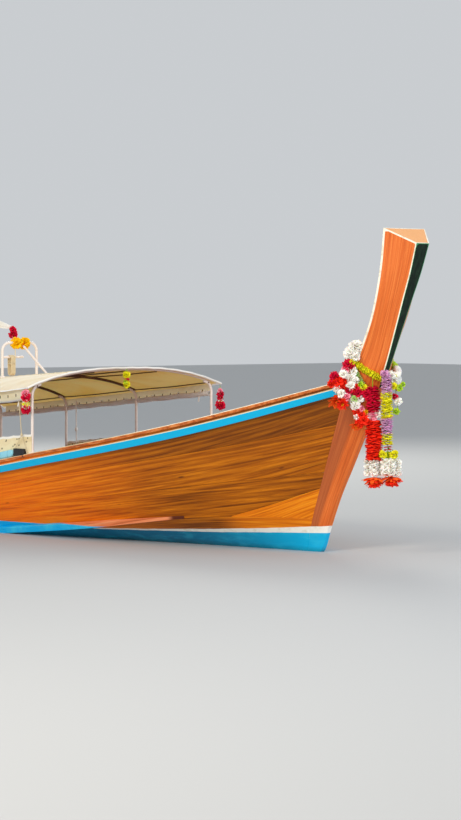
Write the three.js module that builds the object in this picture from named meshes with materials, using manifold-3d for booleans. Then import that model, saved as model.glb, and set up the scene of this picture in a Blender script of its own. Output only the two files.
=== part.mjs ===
// Long-tail passenger boat afloat, as separate pieces in millimetres.
// X runs forward, Y to port and Z up. The origin is on the waterline, on the centreline, amidships.

import * as THREE from 'three';
import { mergeVertices } from 'three/addons/utils/BufferGeometryUtils.js';
import Module from 'manifold-3d';

const wasm = await Module();
wasm.setup();

// Timber sizes
const PLANK = 26;
const GAP = 0.6;
const SEAM = 0.0004;
const FRAME_DEPTH = 40;
const FRAME_WIDTH = 45;
const FLOOR_TOP = -40;
const CAP_HEIGHT = 30;
const CAP_INBOARD = 90;
const CAP_OUTBOARD = 12;
const CAP_SINK = 4;
const CHINE_AT = 0.44;
const MITRE = 0.006;

// Hull lines. Each row is one station, from the transom to the seam on the stem.
// Columns: keel [x, y, z], chine [x, y, z], gunwale [x, y, z], bilge bulge, flare bulge.
const STATIONS = [
  [[-5000, 46, -120], [-5030, 520, 30], [-5144, 640, 600], 60, 20],
  [[-4000, 46, -170], [-4000, 730, -15], [-4000, 865, 530], 80, 22],
  [[-2500, 46, -205], [-2500, 880, -40], [-2500, 1025, 475], 100, 25],
  [[-1000, 46, -220], [-1000, 930, -35], [-1000, 1080, 490], 105, 25],
  [[500, 46, -220], [500, 910, 5], [500, 1090, 592], 100, 25],
  [[1500, 46, -205], [1500, 815, 85], [1500, 1030, 748], 80, 25],
  [[2400, 46, -172], [2400, 690, 180], [2400, 905, 903], 55, 22],
  [[3100, 46, -125], [3100, 520, 250], [3100, 745, 1043], 35, 18],
  [[3560, 46, -75], [3580, 320, 275], [3680, 545, 1185], 20, 14],
  [[3860, 46, -20], [3985, 100, 270], [4500, 185, 1410], 4, 6],
];

// Planking. The bottom and the lowest strake are each laid in two lengths that meet at the butt.
// Columns: name, girth fraction at its lower edge, at its upper edge, length fraction from, to.
const BUTT = 8 / 21;
const STRAKES = [
  ['bottom_planking_aft', 0, CHINE_AT, 0, BUTT],
  ['bottom_planking_fore', 0, CHINE_AT, BUTT, 1],
  ['lower_strake_aft', CHINE_AT, 0.63, 0, BUTT],
  ['lower_strake_fore', CHINE_AT, 0.63, BUTT, 1],
  ['middle_strake', 0.63, 0.82, 0, 1],
  ['sheer_strake', 0.82, 1, 0, 1],
];

// Stem below the gunwale, with a knuckle where its front is bevelled off.
// Columns: girth fraction on the seam, knuckle's share of the way forward and its half-width,
// front x, front z, front half-width.
const STEM_LOW = [
  [0, 0.5, 42, 3861, -100, 30],
  [0.22, 0.42, 46, 4010, 20, 20],
  [CHINE_AT, 0.38, 74, 4085, 195, 18],
  [0.58, 0.44, 88, 4212, 470, 19],
  [0.72, 0.52, 101, 4365, 735, 20],
  [0.86, 0.58, 119, 4510, 1000, 21],
  [1, 0.62, 141, 4657, 1290, 23],
];

// Prow above the gunwale. Columns: aft x, aft z, aft half-width, knuckle's share and half-width,
// front x, front z, front half-width.
const PROW = [
  [4545, 1490, 187, 0.62, 128, 4700, 1380, 24],
  [4640, 1640, 190, 0.56, 106, 4775, 1540, 26],
  [4765, 1880, 197, 0.5, 117, 4893, 1820, 37],
  [4840, 2090, 205, 0.5, 127, 4985, 2040, 48],
  [4897, 2320, 212, 0.5, 135.5, 5070, 2240, 58],
  [4940, 2590, 221, 0.5, 145, 5150, 2470, 68],
];

// Frames inside the hull, in groups on their own lengths of keelson.
// Columns: name, keelson from, keelson to, places of the frames along X.
const FRAME_GROUPS = [
  ['aft_frames', -4900, -1603, [-4400, -3600, -2800, -2000]],
  ['amidships_frames', -1597, 797, [-1200, -400, 400]],
  ['bow_frames', 803, 2780, [1200, 2000, 2700]],
];
const FRAME_PLACES = FRAME_GROUPS.flatMap(([, , , places]) => places);

// Passenger benches, by the place of their middle along X
const BENCH_PLACES = [700, -300, -1300];
const BENCH_LENGTH = 280;
const BENCH_TOP = 285;
const BENCH_THICK = 30;

// Passenger canopy
const POST_PLACES = [1375, 265, -845, -1950];
const POST_Y = 1000;
const TUBE = 12.5;
const CANOPY_FRONT = 1420;
const CANOPY_AFT = -2010;
const CANOPY_HALF = 1080;
const CANOPY_THICK = 8;
const CANOPY_POWER = 2.6;

// Aft roof over the helmsman
const ROOF_FRONT = -1700;
const ROOF_AFT = -4450;
const ROOF_HALF = 1000;
const ROOF_EAVE = 1800;
const ROOF_CROWN = 2010;
const ROOF_POSTS = [-2300, -3750];
const ROOF_POST_Y = 915;

// Engine on its turntable
const PIVOT = [-4850, 0, 1000];
const TAIL_ANGLE = THREE.MathUtils.degToRad(17.7);
const PROPELLER_X = -3860;
const HUB_FRONT = 74;
const SHAFT_RADIUS = 24;
const SHAFT_Z = 44;

const COLOURS = {
  hull_wood: ['#b9651d', 0.35, 0],
  stem_wood: ['#c46a35', 0.35, 0],
  bottom_paint: ['#0f74b4', 0.45, 0],
  rail_paint: ['#18b9e6', 0.4, 0],
  cap_wood: ['#b98a6a', 0.5, 0],
  inner_wood: ['#a9703a', 0.55, 0],
  canopy_cloth: ['#e9dcb4', 0.85, 0],
  white_cloth: ['#f1ede2', 0.85, 0],
  seat_cloth: ['#9fd0ea', 0.8, 0],
  white_tube: ['#dcd3cf', 0.4, 0.3],
  rope: ['#c9b88d', 0.9, 0],
  garland: ['#d8324b', 0.8, 0],
  engine_paint: ['#3c6e8f', 0.5, 0.3],
  cast_iron: ['#55585a', 0.6, 0.6],
  steel: ['#9b9fa2', 0.4, 0.9],
  bronze: ['#b08d4a', 0.35, 0.9],
  fuel_plastic: ['#c9342b', 0.5, 0],
};

const boat = new THREE.Group();

function material(slot) {
  const [color, roughness, metalness] = COLOURS[slot];
  return new THREE.MeshStandardMaterial({ color, roughness, metalness });
}

function place(name, slot, geometry, parent = boat) {
  const mesh = new THREE.Mesh(geometry, material(slot));
  mesh.name = name;
  parent.add(mesh);
  return mesh;
}

function vec(x, y, z) {
  return new THREE.Vector3(x, y, z);
}

// Closed solids and their joins

function bare(geometry) {
  const copy = geometry.index ? geometry.toNonIndexed() : geometry.clone();
  copy.deleteAttribute('normal');
  copy.deleteAttribute('uv');
  return mergeVertices(copy, 1e-3);
}

function toSolid(geometry) {
  const source = bare(geometry);
  return new wasm.Manifold(new wasm.Mesh({
    numProp: 3,
    vertProperties: new Float32Array(source.attributes.position.array),
    triVerts: new Uint32Array(source.index.array),
  }));
}

function fromSolid(solid) {
  const mesh = solid.getMesh();
  const geometry = new THREE.BufferGeometry();
  geometry.setAttribute('position', new THREE.BufferAttribute(new Float32Array(mesh.vertProperties), 3));
  geometry.setIndex(new THREE.BufferAttribute(new Uint32Array(mesh.triVerts), 1));
  return geometry;
}

function join(geometries) {
  return fromSolid(geometries.map(toSolid).reduce((whole, piece) => whole.add(piece)));
}

function cut(geometry, tools) {
  return fromSolid(tools.map(toSolid).reduce((rest, tool) => rest.subtract(tool), toSolid(geometry)));
}

function ringNormal(ring) {
  const normal = vec(0, 0, 0);
  ring.forEach((point, i) => {
    const next = ring[(i + 1) % ring.length];
    normal.x += (point.y - next.y) * (point.z + next.z);
    normal.y += (point.z - next.z) * (point.x + next.x);
    normal.z += (point.x - next.x) * (point.y + next.y);
  });
  return normal.normalize();
}

function capTriangles(ring) {
  const normal = ringNormal(ring);
  const side = Math.abs(normal.x) > 0.7 ? vec(0, 1, 0) : vec(1, 0, 0);
  const u = side.clone().cross(normal).normalize();
  const v = normal.clone().cross(u);
  const flat = ring.map((p) => new THREE.Vector2(p.dot(u), p.dot(v)));
  return THREE.ShapeUtils.triangulateShape(flat, []).map(([a, b, c]) => {
    const ab = flat[b].clone().sub(flat[a]);
    const ac = flat[c].clone().sub(flat[a]);
    return ab.cross(ac) > 0 ? [a, b, c] : [a, c, b];
  });
}

// Skins a row of rings that all have the same number of points, and closes both ends
function loft(rings) {
  const count = rings[0].length;
  const positions = rings.flat().flatMap((p) => [p.x, p.y, p.z]);
  const index = [];
  for (let i = 0; i + 1 < rings.length; i += 1) {
    for (let j = 0; j < count; j += 1) {
      const a = i * count + j;
      const b = i * count + ((j + 1) % count);
      index.push(a, b, b + count, a, b + count, a + count);
    }
  }
  const last = (rings.length - 1) * count;
  capTriangles(rings[0]).forEach(([a, b, c]) => index.push(a, c, b));
  capTriangles(rings[rings.length - 1]).forEach(([a, b, c]) => index.push(last + a, last + b, last + c));
  const geometry = new THREE.BufferGeometry();
  geometry.setAttribute('position', new THREE.Float32BufferAttribute(positions, 3));
  geometry.setIndex(index);
  return outward(geometry);
}

function outward(geometry) {
  const position = geometry.attributes.position;
  const index = Array.from(geometry.index.array);
  const corner = (k) => vec(position.getX(index[k]), position.getY(index[k]), position.getZ(index[k]));
  let volume = 0;
  for (let k = 0; k < index.length; k += 3) {
    volume += corner(k).dot(corner(k + 1).cross(corner(k + 2)));
  }
  if (volume < 0) {
    for (let k = 0; k < index.length; k += 3) {
      [index[k + 1], index[k + 2]] = [index[k + 2], index[k + 1]];
    }
    geometry.setIndex(index);
  }
  return geometry;
}

function block(x0, x1, y0, y1, z0, z1) {
  const geometry = new THREE.BoxGeometry(x1 - x0, y1 - y0, z1 - z0);
  return geometry.translate((x0 + x1) / 2, (y0 + y1) / 2, (z0 + z1) / 2);
}

function rod(from, to, radius, sides = 8, endRadius = radius) {
  const axis = to.clone().sub(from);
  const geometry = new THREE.CylinderGeometry(endRadius, radius, axis.length(), sides);
  const turn = new THREE.Quaternion().setFromUnitVectors(vec(0, 1, 0), axis.clone().normalize());
  geometry.applyQuaternion(turn);
  const middle = from.clone().add(to).multiplyScalar(0.5);
  return geometry.translate(middle.x, middle.y, middle.z);
}

// A tube through points in one plane or along a smooth curve
function bentTube(points, radius, steps, sides = 8) {
  const curve = new THREE.CatmullRomCurve3(points, false, 'centripetal');
  const section = new THREE.Shape();
  for (let i = 0; i < sides; i += 1) {
    const angle = (2 * Math.PI * i) / sides;
    const x = radius * Math.cos(angle);
    const y = radius * Math.sin(angle);
    if (i === 0) section.moveTo(x, y);
    else section.lineTo(x, y);
  }
  section.closePath();
  return new THREE.ExtrudeGeometry(section, { steps, bevelEnabled: false, extrudePath: curve });
}

function arcPoints(middle, radius, from, to, count, toPoint) {
  return Array.from({ length: count + 1 }, (_, i) => {
    const angle = from + ((to - from) * i) / count;
    return toPoint(middle[0] + radius * Math.cos(angle), middle[1] + radius * Math.sin(angle));
  });
}

// Hull surface

const lineThrough = (column) => new THREE.CatmullRomCurve3(STATIONS.map((row) => vec(...row[column])));
const KEEL_LINE = lineThrough(0);
const CHINE_LINE = lineThrough(1);
const GUNWALE_LINE = lineThrough(2);
const BULGE_LINE = new THREE.CatmullRomCurve3(STATIONS.map((row) => vec(row[0][0], row[3], row[4])));

function bulged(from, to, bulge, t) {
  const dy = to.y - from.y;
  const dz = to.z - from.z;
  const length = Math.hypot(dy, dz);
  const middle = from.clone().add(to).multiplyScalar(0.5);
  middle.y += (bulge * dz) / length;
  middle.z -= (bulge * dy) / length;
  const s = 1 - t;
  return from.clone().multiplyScalar(s * s).addScaledVector(middle, 2 * s * t).addScaledVector(to, t * t);
}

function skin(u, v) {
  const chine = CHINE_LINE.getPoint(u);
  const bulge = BULGE_LINE.getPoint(u);
  if (v < CHINE_AT) return bulged(KEEL_LINE.getPoint(u), chine, bulge.y, v / CHINE_AT);
  return bulged(chine, GUNWALE_LINE.getPoint(u), bulge.z, (v - CHINE_AT) / (1 - CHINE_AT));
}

function skinNormal(u, v, lowest, highest) {
  const step = 0.002;
  const along = skin(Math.min(u + step, 1), v).sub(skin(Math.max(u - step, 0), v));
  const round = skin(u, Math.min(v + step, highest)).sub(skin(u, Math.max(v - step, lowest)));
  const normal = along.cross(round).normalize();
  return 0.5 * normal.y - normal.z < 0 ? normal.negate() : normal;
}

// The direction out of the hull, mitred where side and bottom meet at the chine
function outwardAt(u, v) {
  if (Math.abs(v - CHINE_AT) > MITRE) {
    return v < CHINE_AT ? skinNormal(u, v, 0, CHINE_AT) : skinNormal(u, v, CHINE_AT, 1);
  }
  const below = skinNormal(u, CHINE_AT - MITRE, 0, CHINE_AT);
  const above = skinNormal(u, CHINE_AT + MITRE, CHINE_AT, 1);
  const middle = below.clone().add(above).normalize();
  return middle.divideScalar(middle.dot(above));
}

// A point of the hull at u along its length and v round its girth, moved inward by inset.
// Side is 1 for port and -1 for starboard.
function hull(u, v, inset = 0, side = 1) {
  const point = skin(u, v);
  if (inset !== 0) point.addScaledVector(outwardAt(u, v), -inset);
  point.y *= side;
  return point;
}

function solve(low, high, value) {
  let a = low;
  let b = high;
  for (let i = 0; i < 40; i += 1) {
    const middle = (a + b) / 2;
    if (value(middle) < 0) a = middle;
    else b = middle;
  }
  return (a + b) / 2;
}

function hullAtX(x, v, inset = 0) {
  return hull(solve(0, 1, (u) => hull(u, v, inset).x - x), v, inset);
}

function hullAtHeight(x, z, inset = 0) {
  return hullAtX(x, solve(0, 1, (v) => hullAtX(x, v, inset).z - z), inset);
}

function gunwaleAt(x) {
  return GUNWALE_LINE.getPoint(solve(0, 1, (u) => GUNWALE_LINE.getPoint(u).x - x));
}

// The girth fraction where the side is a given drop below the gunwale
function girthBelowGunwale(u, drop) {
  const top = GUNWALE_LINE.getPoint(u).z;
  return solve(CHINE_AT, 1, (v) => skin(u, v).z - (top - drop));
}

function range(from, to, count) {
  return Array.from({ length: count + 1 }, (_, i) => from + ((to - from) * i) / count);
}

const LENGTHWISE = range(0, 1, 21);
const SIDES = [['port', 1], ['starboard', -1]];

function mirrored(points) {
  return points.map((p) => vec(p.x, -p.y, p.z)).reverse();
}

// Backbone

function keel() {
  const ring = (u) => {
    const base = KEEL_LINE.getPoint(u);
    const corners = [[55, -GAP], [55, -45], [30, -80], [-30, -80], [-55, -45], [-55, -GAP]];
    const narrow = Math.min(1, (1 - u) * 6 + 0.72);
    return corners.map(([y, z]) => vec(base.x, y * narrow, base.z + z));
  };
  return loft(LENGTHWISE.map(ring));
}

// A ring of the stem from its aft and front corners [x, half-width, z], grown all round
function stemRing(aft, front, share, knuckleHalf, grow = 0) {
  const [aftX, aftHalf, aftZ] = [aft[0] - grow, aft[1] + 2 * grow, aft[2]];
  const [frontX, frontHalf, frontZ] = [front[0] + grow, front[1] + grow, front[2]];
  const bendX = aftX + (frontX - aftX) * share;
  const bendZ = aftZ + (frontZ - aftZ) * share;
  const right = [
    vec(aftX, aftHalf, aftZ),
    vec(bendX, knuckleHalf + grow, bendZ),
    vec(frontX, frontHalf, frontZ),
  ];
  return [...right, ...mirrored(right)];
}

function stem(grow = 0) {
  const low = STEM_LOW.map(([v, share, knuckleHalf, x, z, half]) => {
    const seam = skin(1, v);
    return stemRing([seam.x + GAP + 0.2, seam.y, seam.z], [x, half, z], share, knuckleHalf, grow);
  });
  const high = PROW.map(([x, z, half, share, knuckleHalf, frontX, frontZ, frontHalf]) => (
    stemRing([x, half, z], [frontX, frontHalf, frontZ], share, knuckleHalf, grow)));
  return loft([...low, ...high]);
}

function transom() {
  const edge = range(0, 1, 14).map((v) => skin(0, v));
  const outline = [...edge, ...mirrored(edge)];
  const shifted = (distance) => outline.map((p) => vec(p.x - distance, p.y, p.z));
  return loft([shifted(GAP), shifted(45)]);
}

// Planking and rails

function strake(from, to, start, end, side) {
  const ring = (u) => {
    const top = to === 1 ? girthBelowGunwale(u, CAP_HEIGHT - 6) : to - SEAM;
    const bottom = from === 0 ? 0 : from + SEAM;
    const edge = range(bottom, top, from === 0 ? 4 : 2);
    const outer = edge.map((v) => hull(u, v, 0, side));
    const inner = edge.map((v) => hull(u, v, PLANK, side)).reverse();
    return [...outer, ...inner];
  };
  const places = LENGTHWISE.filter((u) => u > start && u < end);
  const plank = loft([start + (start ? SEAM / 8 : 0), ...places, end].map(ring));
  return to === 1 ? cut(plank, [gunwaleCap(side, GAP)]) : plank;
}

// Girth fractions of all the planking's edges at one place along the hull
function plankingEdges(u) {
  const sheer = girthBelowGunwale(u, CAP_HEIGHT - 6);
  return [...range(0, CHINE_AT, 4), 0.535, 0.63, 0.725, 0.82, (0.82 + sheer) / 2, sheer];
}

// The planking of one side as a solid from one inset to another, to cut its neighbours with
function plankingTool(side, outerInset, innerInset) {
  const at = (u, v, inset) => hull(u, v, inset, side).add(vec(0, v === 0 ? -side * GAP : 0, 0));
  return loft(LENGTHWISE.map((u) => {
    const edges = plankingEdges(u);
    const outer = edges.map((v) => at(u, v, outerInset));
    const inner = edges.map((v) => at(u, v, innerInset)).reverse();
    return [...outer, ...inner];
  }));
}

const trimInside = (geometry) => cut(geometry, SIDES.map(([, side]) => plankingTool(side, -20, PLANK + GAP)));
const trimOnCaps = (geometry) => cut(geometry, SIDES.map(([, side]) => gunwaleCap(side, GAP)));
const trimOutside = (geometry, side) => cut(geometry, [plankingTool(side, -GAP, PLANK + 20)]);

function gunwaleCap(side, grow = 0) {
  const inboard = CAP_INBOARD + 50 * grow;
  const outboard = CAP_OUTBOARD + 50 * grow;
  const ring = (u) => {
    const top = GUNWALE_LINE.getPoint(u).add(vec(0, 0, grow));
    const low = skin(u, girthBelowGunwale(u, CAP_HEIGHT)).add(vec(0, 0, -grow));
    const beyond = 60 * grow * (Math.floor(u) - Math.floor(1 - u));
    const at = (p, offset) => vec(p.x + beyond, side * (p.y + offset), p.z);
    return [at(top, outboard), at(low, outboard), at(low, -inboard), at(top, -inboard)];
  };
  return loft(LENGTHWISE.map(ring));
}

function rubRail(side) {
  const top = 45;
  const bottom = 108;
  const proud = 32;
  const ring = (u) => {
    const high = girthBelowGunwale(u, top);
    const low = girthBelowGunwale(u, bottom);
    return [
      hull(u, high, 8, side),
      hull(u, low, 8, side),
      hull(u, low, -proud, side),
      hull(u, high, -proud, side),
    ];
  };
  return trimOutside(loft([0.004, ...LENGTHWISE.slice(1, -1), 0.994].map(ring)), side);
}

function chineRail(side) {
  const tip = 2930;
  const foot = -4950;
  const ring = (x) => {
    const size = Math.min(1, (tip - x) / 2300) * 0.9 + 0.1;
    const reach = 0.034 * size;
    const proud = 42 * Math.min(1, (tip - x) / 900) + 2;
    const at = (v, out) => {
      const p = hullAtX(x, v, -out);
      return vec(x, side * p.y, p.z);
    };
    const low = CHINE_AT + 0.002;
    const high = CHINE_AT + 0.002 + reach;
    return [at(low, -8), at(low, proud), at(high, proud), at(high, -8)];
  };
  return trimOutside(loft([...range(foot, 2000, 16), ...range(2200, tip, 4)].map(ring)), side);
}

// Inside the hull

function frame(x, grow = 0) {
  const inset = PLANK - 8;
  const depth = PLANK + GAP + FRAME_DEPTH + grow;
  const floorAt = FLOOR_TOP - 20 - GAP;
  const start = solve(0, 1, (v) => hullAtX(x, v, depth).z - floorAt);
  const stop = 0.93;
  const section = (place) => {
    const outer = [...range(0.005, CHINE_AT, 4), ...range(CHINE_AT + 0.1, stop, 4)].map((v) => hullAtX(place, v, inset));
    const inner = range(start, stop, 5).map((v) => hullAtX(place, v, depth));
    inner[0].z = floorAt;
    const right = [...outer, ...inner.reverse()].map((p) => vec(place, p.y, p.z));
    const left = mirrored(right);
    return [...right, ...left];
  };
  const half = FRAME_WIDTH / 2 + grow;
  return loft([section(x - half), section(x + half)]);
}

function keelson(from, to) {
  const half = 42;
  const ring = (x) => {
    const low = hullAtX(x, 0).z + 52;
    const high = Math.min(low + 48, FLOOR_TOP - 22);
    return [[half, low], [-half, low], [-half, high], [half, high]].map(([y, z]) => vec(x, y, z));
  };
  return loft(range(from, to, 6).map(ring));
}

function floorboards() {
  const half = (x) => hullAtHeight(x, FLOOR_TOP - 20, PLANK + FRAME_DEPTH + 8).y;
  const ring = (x) => {
    const y = half(x);
    return [vec(x, y, FLOOR_TOP), vec(x, -y, FLOOR_TOP), vec(x, -y, FLOOR_TOP - 20), vec(x, y, FLOOR_TOP - 20)];
  };
  return loft(range(-4450, 2700, 11).map(ring));
}

function benchRiser(side) {
  const low = BENCH_TOP - BENCH_THICK - GAP - 55;
  const high = BENCH_TOP - BENCH_THICK - GAP;
  const inset = PLANK + FRAME_DEPTH - 4;
  const width = 34;
  const ring = (x) => {
    const top = hullAtHeight(x, high, inset).y;
    const bottom = hullAtHeight(x, low, inset).y;
    return [[top, high], [top - width, high], [bottom - width, low], [bottom, low]]
      .map(([y, z]) => vec(x, side * y, z));
  };
  const notches = FRAME_PLACES.map((x) => frame(x, GAP));
  return cut(loft([-2150, -2000, -1200, -400, 400, 1200, 1500].map(ring)), notches);
}

function bench(x) {
  const reach = (place) => hullAtHeight(place, BENCH_TOP - BENCH_THICK, PLANK + FRAME_DEPTH + 8).y;
  const half = Math.min(reach(x - BENCH_LENGTH / 2), reach(x + BENCH_LENGTH / 2));
  return block(x - BENCH_LENGTH / 2, x + BENCH_LENGTH / 2, -half, half, BENCH_TOP - BENCH_THICK, BENCH_TOP);
}

function benchCushion(x) {
  const half = 790;
  const margin = 12;
  const low = BENCH_TOP + GAP;
  return block(x - BENCH_LENGTH / 2 + margin, x + BENCH_LENGTH / 2 - margin, -half, half, low, low + 55);
}

function deckBetween(from, to, topAt, inset, steps) {
  const thick = 26;
  const ring = (x) => {
    const z = topAt(x);
    const top = hullAtHeight(x, z, inset).y;
    const bottom = hullAtHeight(x, z - thick, inset).y;
    return [vec(x, top, z), vec(x, -top, z), vec(x, -bottom, z - thick), vec(x, bottom, z - thick)];
  };
  return loft(range(from, to, steps).map(ring));
}

const FOREDECK_AFT = 2960;
const FOREDECK_DROP = 130;
const foredeckTop = (x) => gunwaleAt(x).z - FOREDECK_DROP;

function foredeckBulkhead() {
  const inset = PLANK - 8;
  const top = foredeckTop(FOREDECK_AFT) - 26 - 1;
  const section = (x) => {
    const stop = solve(0, 1, (v) => hullAtX(x, v, inset).z - top);
    const right = range(0.01, stop, 8).map((v) => {
      const p = hullAtX(x, v, inset);
      return vec(x, p.y, p.z);
    });
    right[right.length - 1].z = top;
    return [...right, ...mirrored(right)];
  };
  return loft([section(FOREDECK_AFT + 2), section(FOREDECK_AFT + 24)]);
}

const AFT_DECK_TOP = 380;

// Passenger canopy

const eaveAt = (x) => 1290 + 0.0905 * (x - 1340);
const crownAt = (x) => 1454 + 0.065 * (x - 1410);

function archHeight(x, y) {
  const rise = crownAt(x) - eaveAt(x);
  return crownAt(x) - rise * (Math.abs(y) / CANOPY_HALF) ** CANOPY_POWER;
}

const ARCH_PLACES = [-1, -0.92, -0.82, -0.7, -0.55, -0.36, -0.12, 0.12, 0.36, 0.55, 0.7, 0.82, 0.92, 1];

function canopyCover(above = 0, below = 0) {
  const sag = 9;
  const ring = (x) => {
    const onBow = POST_PLACES.some((place) => Math.abs(place - x) < 100);
    const drop = onBow ? 0 : sag;
    const top = ARCH_PLACES.map((k) => vec(x, k * CANOPY_HALF, archHeight(x, k * CANOPY_HALF) - drop));
    const over = top.map((p) => vec(x, p.y, p.z + above));
    const under = top.map((p) => vec(x, p.y, p.z - CANOPY_THICK - below)).reverse();
    return [...over, ...under];
  };
  const places = [CANOPY_AFT, -1950, -1400, -845, -290, 265, 820, 1375, CANOPY_FRONT];
  return loft(places.map(ring));
}

// The bows, rails and stringers run a little below the cover
const COVER_TO_TUBE = CANOPY_THICK + TUBE + 2.2;

function canopyFrame() {
  const pieces = [];
  const railY = POST_Y - 30;
  POST_PLACES.forEach((x) => {
    const arch = ARCH_PLACES.map((k) => k * 1.01 * railY).map((y) => vec(x, y, archHeight(x, y) - COVER_TO_TUBE));
    pieces.push(bentTube(arch, TUBE, 14, 6));
    [1, -1].forEach((side) => {
      const foot = gunwaleAt(x).z - CAP_SINK;
      const top = vec(x, side * railY, archHeight(x, railY) - COVER_TO_TUBE);
      pieces.push(rod(vec(x, side * POST_Y, foot), vec(x, side * POST_Y, top.z - 60), TUBE));
      pieces.push(rod(vec(x, side * POST_Y, top.z - 64), top, TUBE));
      pieces.push(postFoot(x, side));
    });
  });
  [0, 0.36, -0.36, 0.985, -0.985].forEach((k) => {
    const y = k * railY;
    const at = (x) => vec(x, y, archHeight(x, y) - COVER_TO_TUBE - 8);
    pieces.push(rod(at(POST_PLACES[0] + 12), at(POST_PLACES[POST_PLACES.length - 1] - 12), TUBE * 0.8, 6));
  });
  return cut(trimOnCaps(join(pieces)), [canopyCover(20, GAP)]);
}

function sideCurtain(side) {
  const radius = 24;
  const rollY = 1045;
  const drop = 100;
  const from = POST_PLACES[POST_PLACES.length - 1] + 20;
  const to = POST_PLACES[0] - 50;
  const at = (x) => vec(x, side * rollY, eaveAt(x) - drop);
  const roll = rod(at(from), at(to), radius, 10);
  const sheet = loft([from + 1, to - 1].map((x) => [
    vec(x, side * (rollY + 2), archHeight(x, rollY) - CANOPY_THICK),
    vec(x, side * (rollY - 4), archHeight(x, rollY) - CANOPY_THICK),
    vec(x, side * (rollY - 4), eaveAt(x) - drop),
    vec(x, side * (rollY + 2), eaveAt(x) - drop),
  ]));
  return cut(join([roll, sheet]), [canopyCover(20, GAP)]);
}

function postFoot(x, side, grow = 0) {
  const base = gunwaleAt(x).z;
  const at = (z) => vec(x, side * POST_Y, z);
  return rod(at(base - CAP_SINK), at(base + 8 + grow), 34 + grow, 12);
}

const hemAt = (x) => 768 + 0.093 * x;

function weatherCloth(side, from, to) {
  const near = POST_Y + TUBE + 1;
  const thick = 6;
  const ring = (x) => {
    const foot = gunwaleAt(x).z - CAP_SINK;
    const hem = hemAt(x);
    return [[near, foot], [near + thick, foot], [near + thick, hem], [near, hem]].map(([y, z]) => vec(x, side * y, z));
  };
  const feet = POST_PLACES.map((x) => postFoot(x, side, GAP));
  return cut(trimOnCaps(loft(range(from, to, 10).map(ring))), feet);
}

// Hoop on the canopy roof

const HOOP_X = -220;
const HOOP_HALF = 195;
const HOOP_TOP = 1660;

function roofHoop() {
  const radius = 13;
  const corner = 75;
  const foot = archHeight(HOOP_X, HOOP_HALF) - 14;
  const toPoint = (y, z) => vec(HOOP_X, y, z);
  const outline = [
    toPoint(-HOOP_HALF, foot),
    toPoint(-HOOP_HALF, (foot + HOOP_TOP) / 2),
    ...arcPoints([-HOOP_HALF + corner, HOOP_TOP - corner], corner, Math.PI, Math.PI / 2, 5, toPoint),
    ...arcPoints([HOOP_HALF - corner, HOOP_TOP - corner], corner, Math.PI / 2, 0, 5, toPoint),
    toPoint(HOOP_HALF, (foot + HOOP_TOP) / 2),
    toPoint(HOOP_HALF, foot),
  ];
  const bar = rod(vec(HOOP_X, -HOOP_HALF, 1528), vec(HOOP_X, 40, 1528), 11);
  const brace = rod(vec(HOOP_X, 20, HOOP_TOP - 4), vec(120, 70, archHeight(120, 70) - 6), 11);
  const pads = [1, -1].map((side) => (
    rod(vec(HOOP_X, side * HOOP_HALF, foot + 1), vec(HOOP_X, side * HOOP_HALF, foot + 16), 30, 12)));
  return cut(join([bentTube(outline, radius, 28, 6), bar, brace, ...pads]), [canopyCover(GAP, 20)]);
}

function ropeHank() {
  const bar = [HOOP_X, 1528];
  const outline = new THREE.Shape();
  const half = 26;
  const run = 138;
  outline.absarc(0, 0, half, 0, Math.PI, false);
  outline.absarc(0, -run, half, Math.PI, 2 * Math.PI, false);
  outline.closePath();
  const hole = new THREE.Path();
  hole.absarc(0, 0, 11.6, 0, 2 * Math.PI, true);
  outline.holes.push(hole);
  const depth = 60;
  const geometry = new THREE.ExtrudeGeometry(outline, { depth, bevelEnabled: false, curveSegments: 8 });
  geometry.rotateX(Math.PI / 2);
  return geometry.translate(bar[0], -60, bar[1]);
}

// Aft roof

function roofHeight(y) {
  return ROOF_CROWN - (ROOF_CROWN - ROOF_EAVE) * (Math.abs(y) / ROOF_HALF) ** 2;
}

function roofSheet(grow = 0) {
  const thick = 10;
  const ring = (x) => {
    const top = ARCH_PLACES.map((k) => vec(x, k * ROOF_HALF, roofHeight(k * ROOF_HALF)));
    const over = top.map((p) => vec(x, p.y, p.z + 20 * grow));
    return [...over, ...top.map((p) => vec(x, p.y, p.z - thick - grow)).reverse()];
  };
  return loft([ROOF_AFT, ROOF_FRONT].map(ring));
}

function roofCover() {
  const valance = (x0, x1) => loft([x0, x1].map((x) => {
    const top = ARCH_PLACES.map((k) => vec(x, k * ROOF_HALF, roofHeight(k * ROOF_HALF) - 4));
    return [...top, ...top.map((p) => vec(x, p.y, p.z - 80)).reverse()];
  }));
  return join([roofSheet(), valance(ROOF_FRONT - 8, ROOF_FRONT), valance(ROOF_AFT, ROOF_AFT + 8)]);
}

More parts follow.
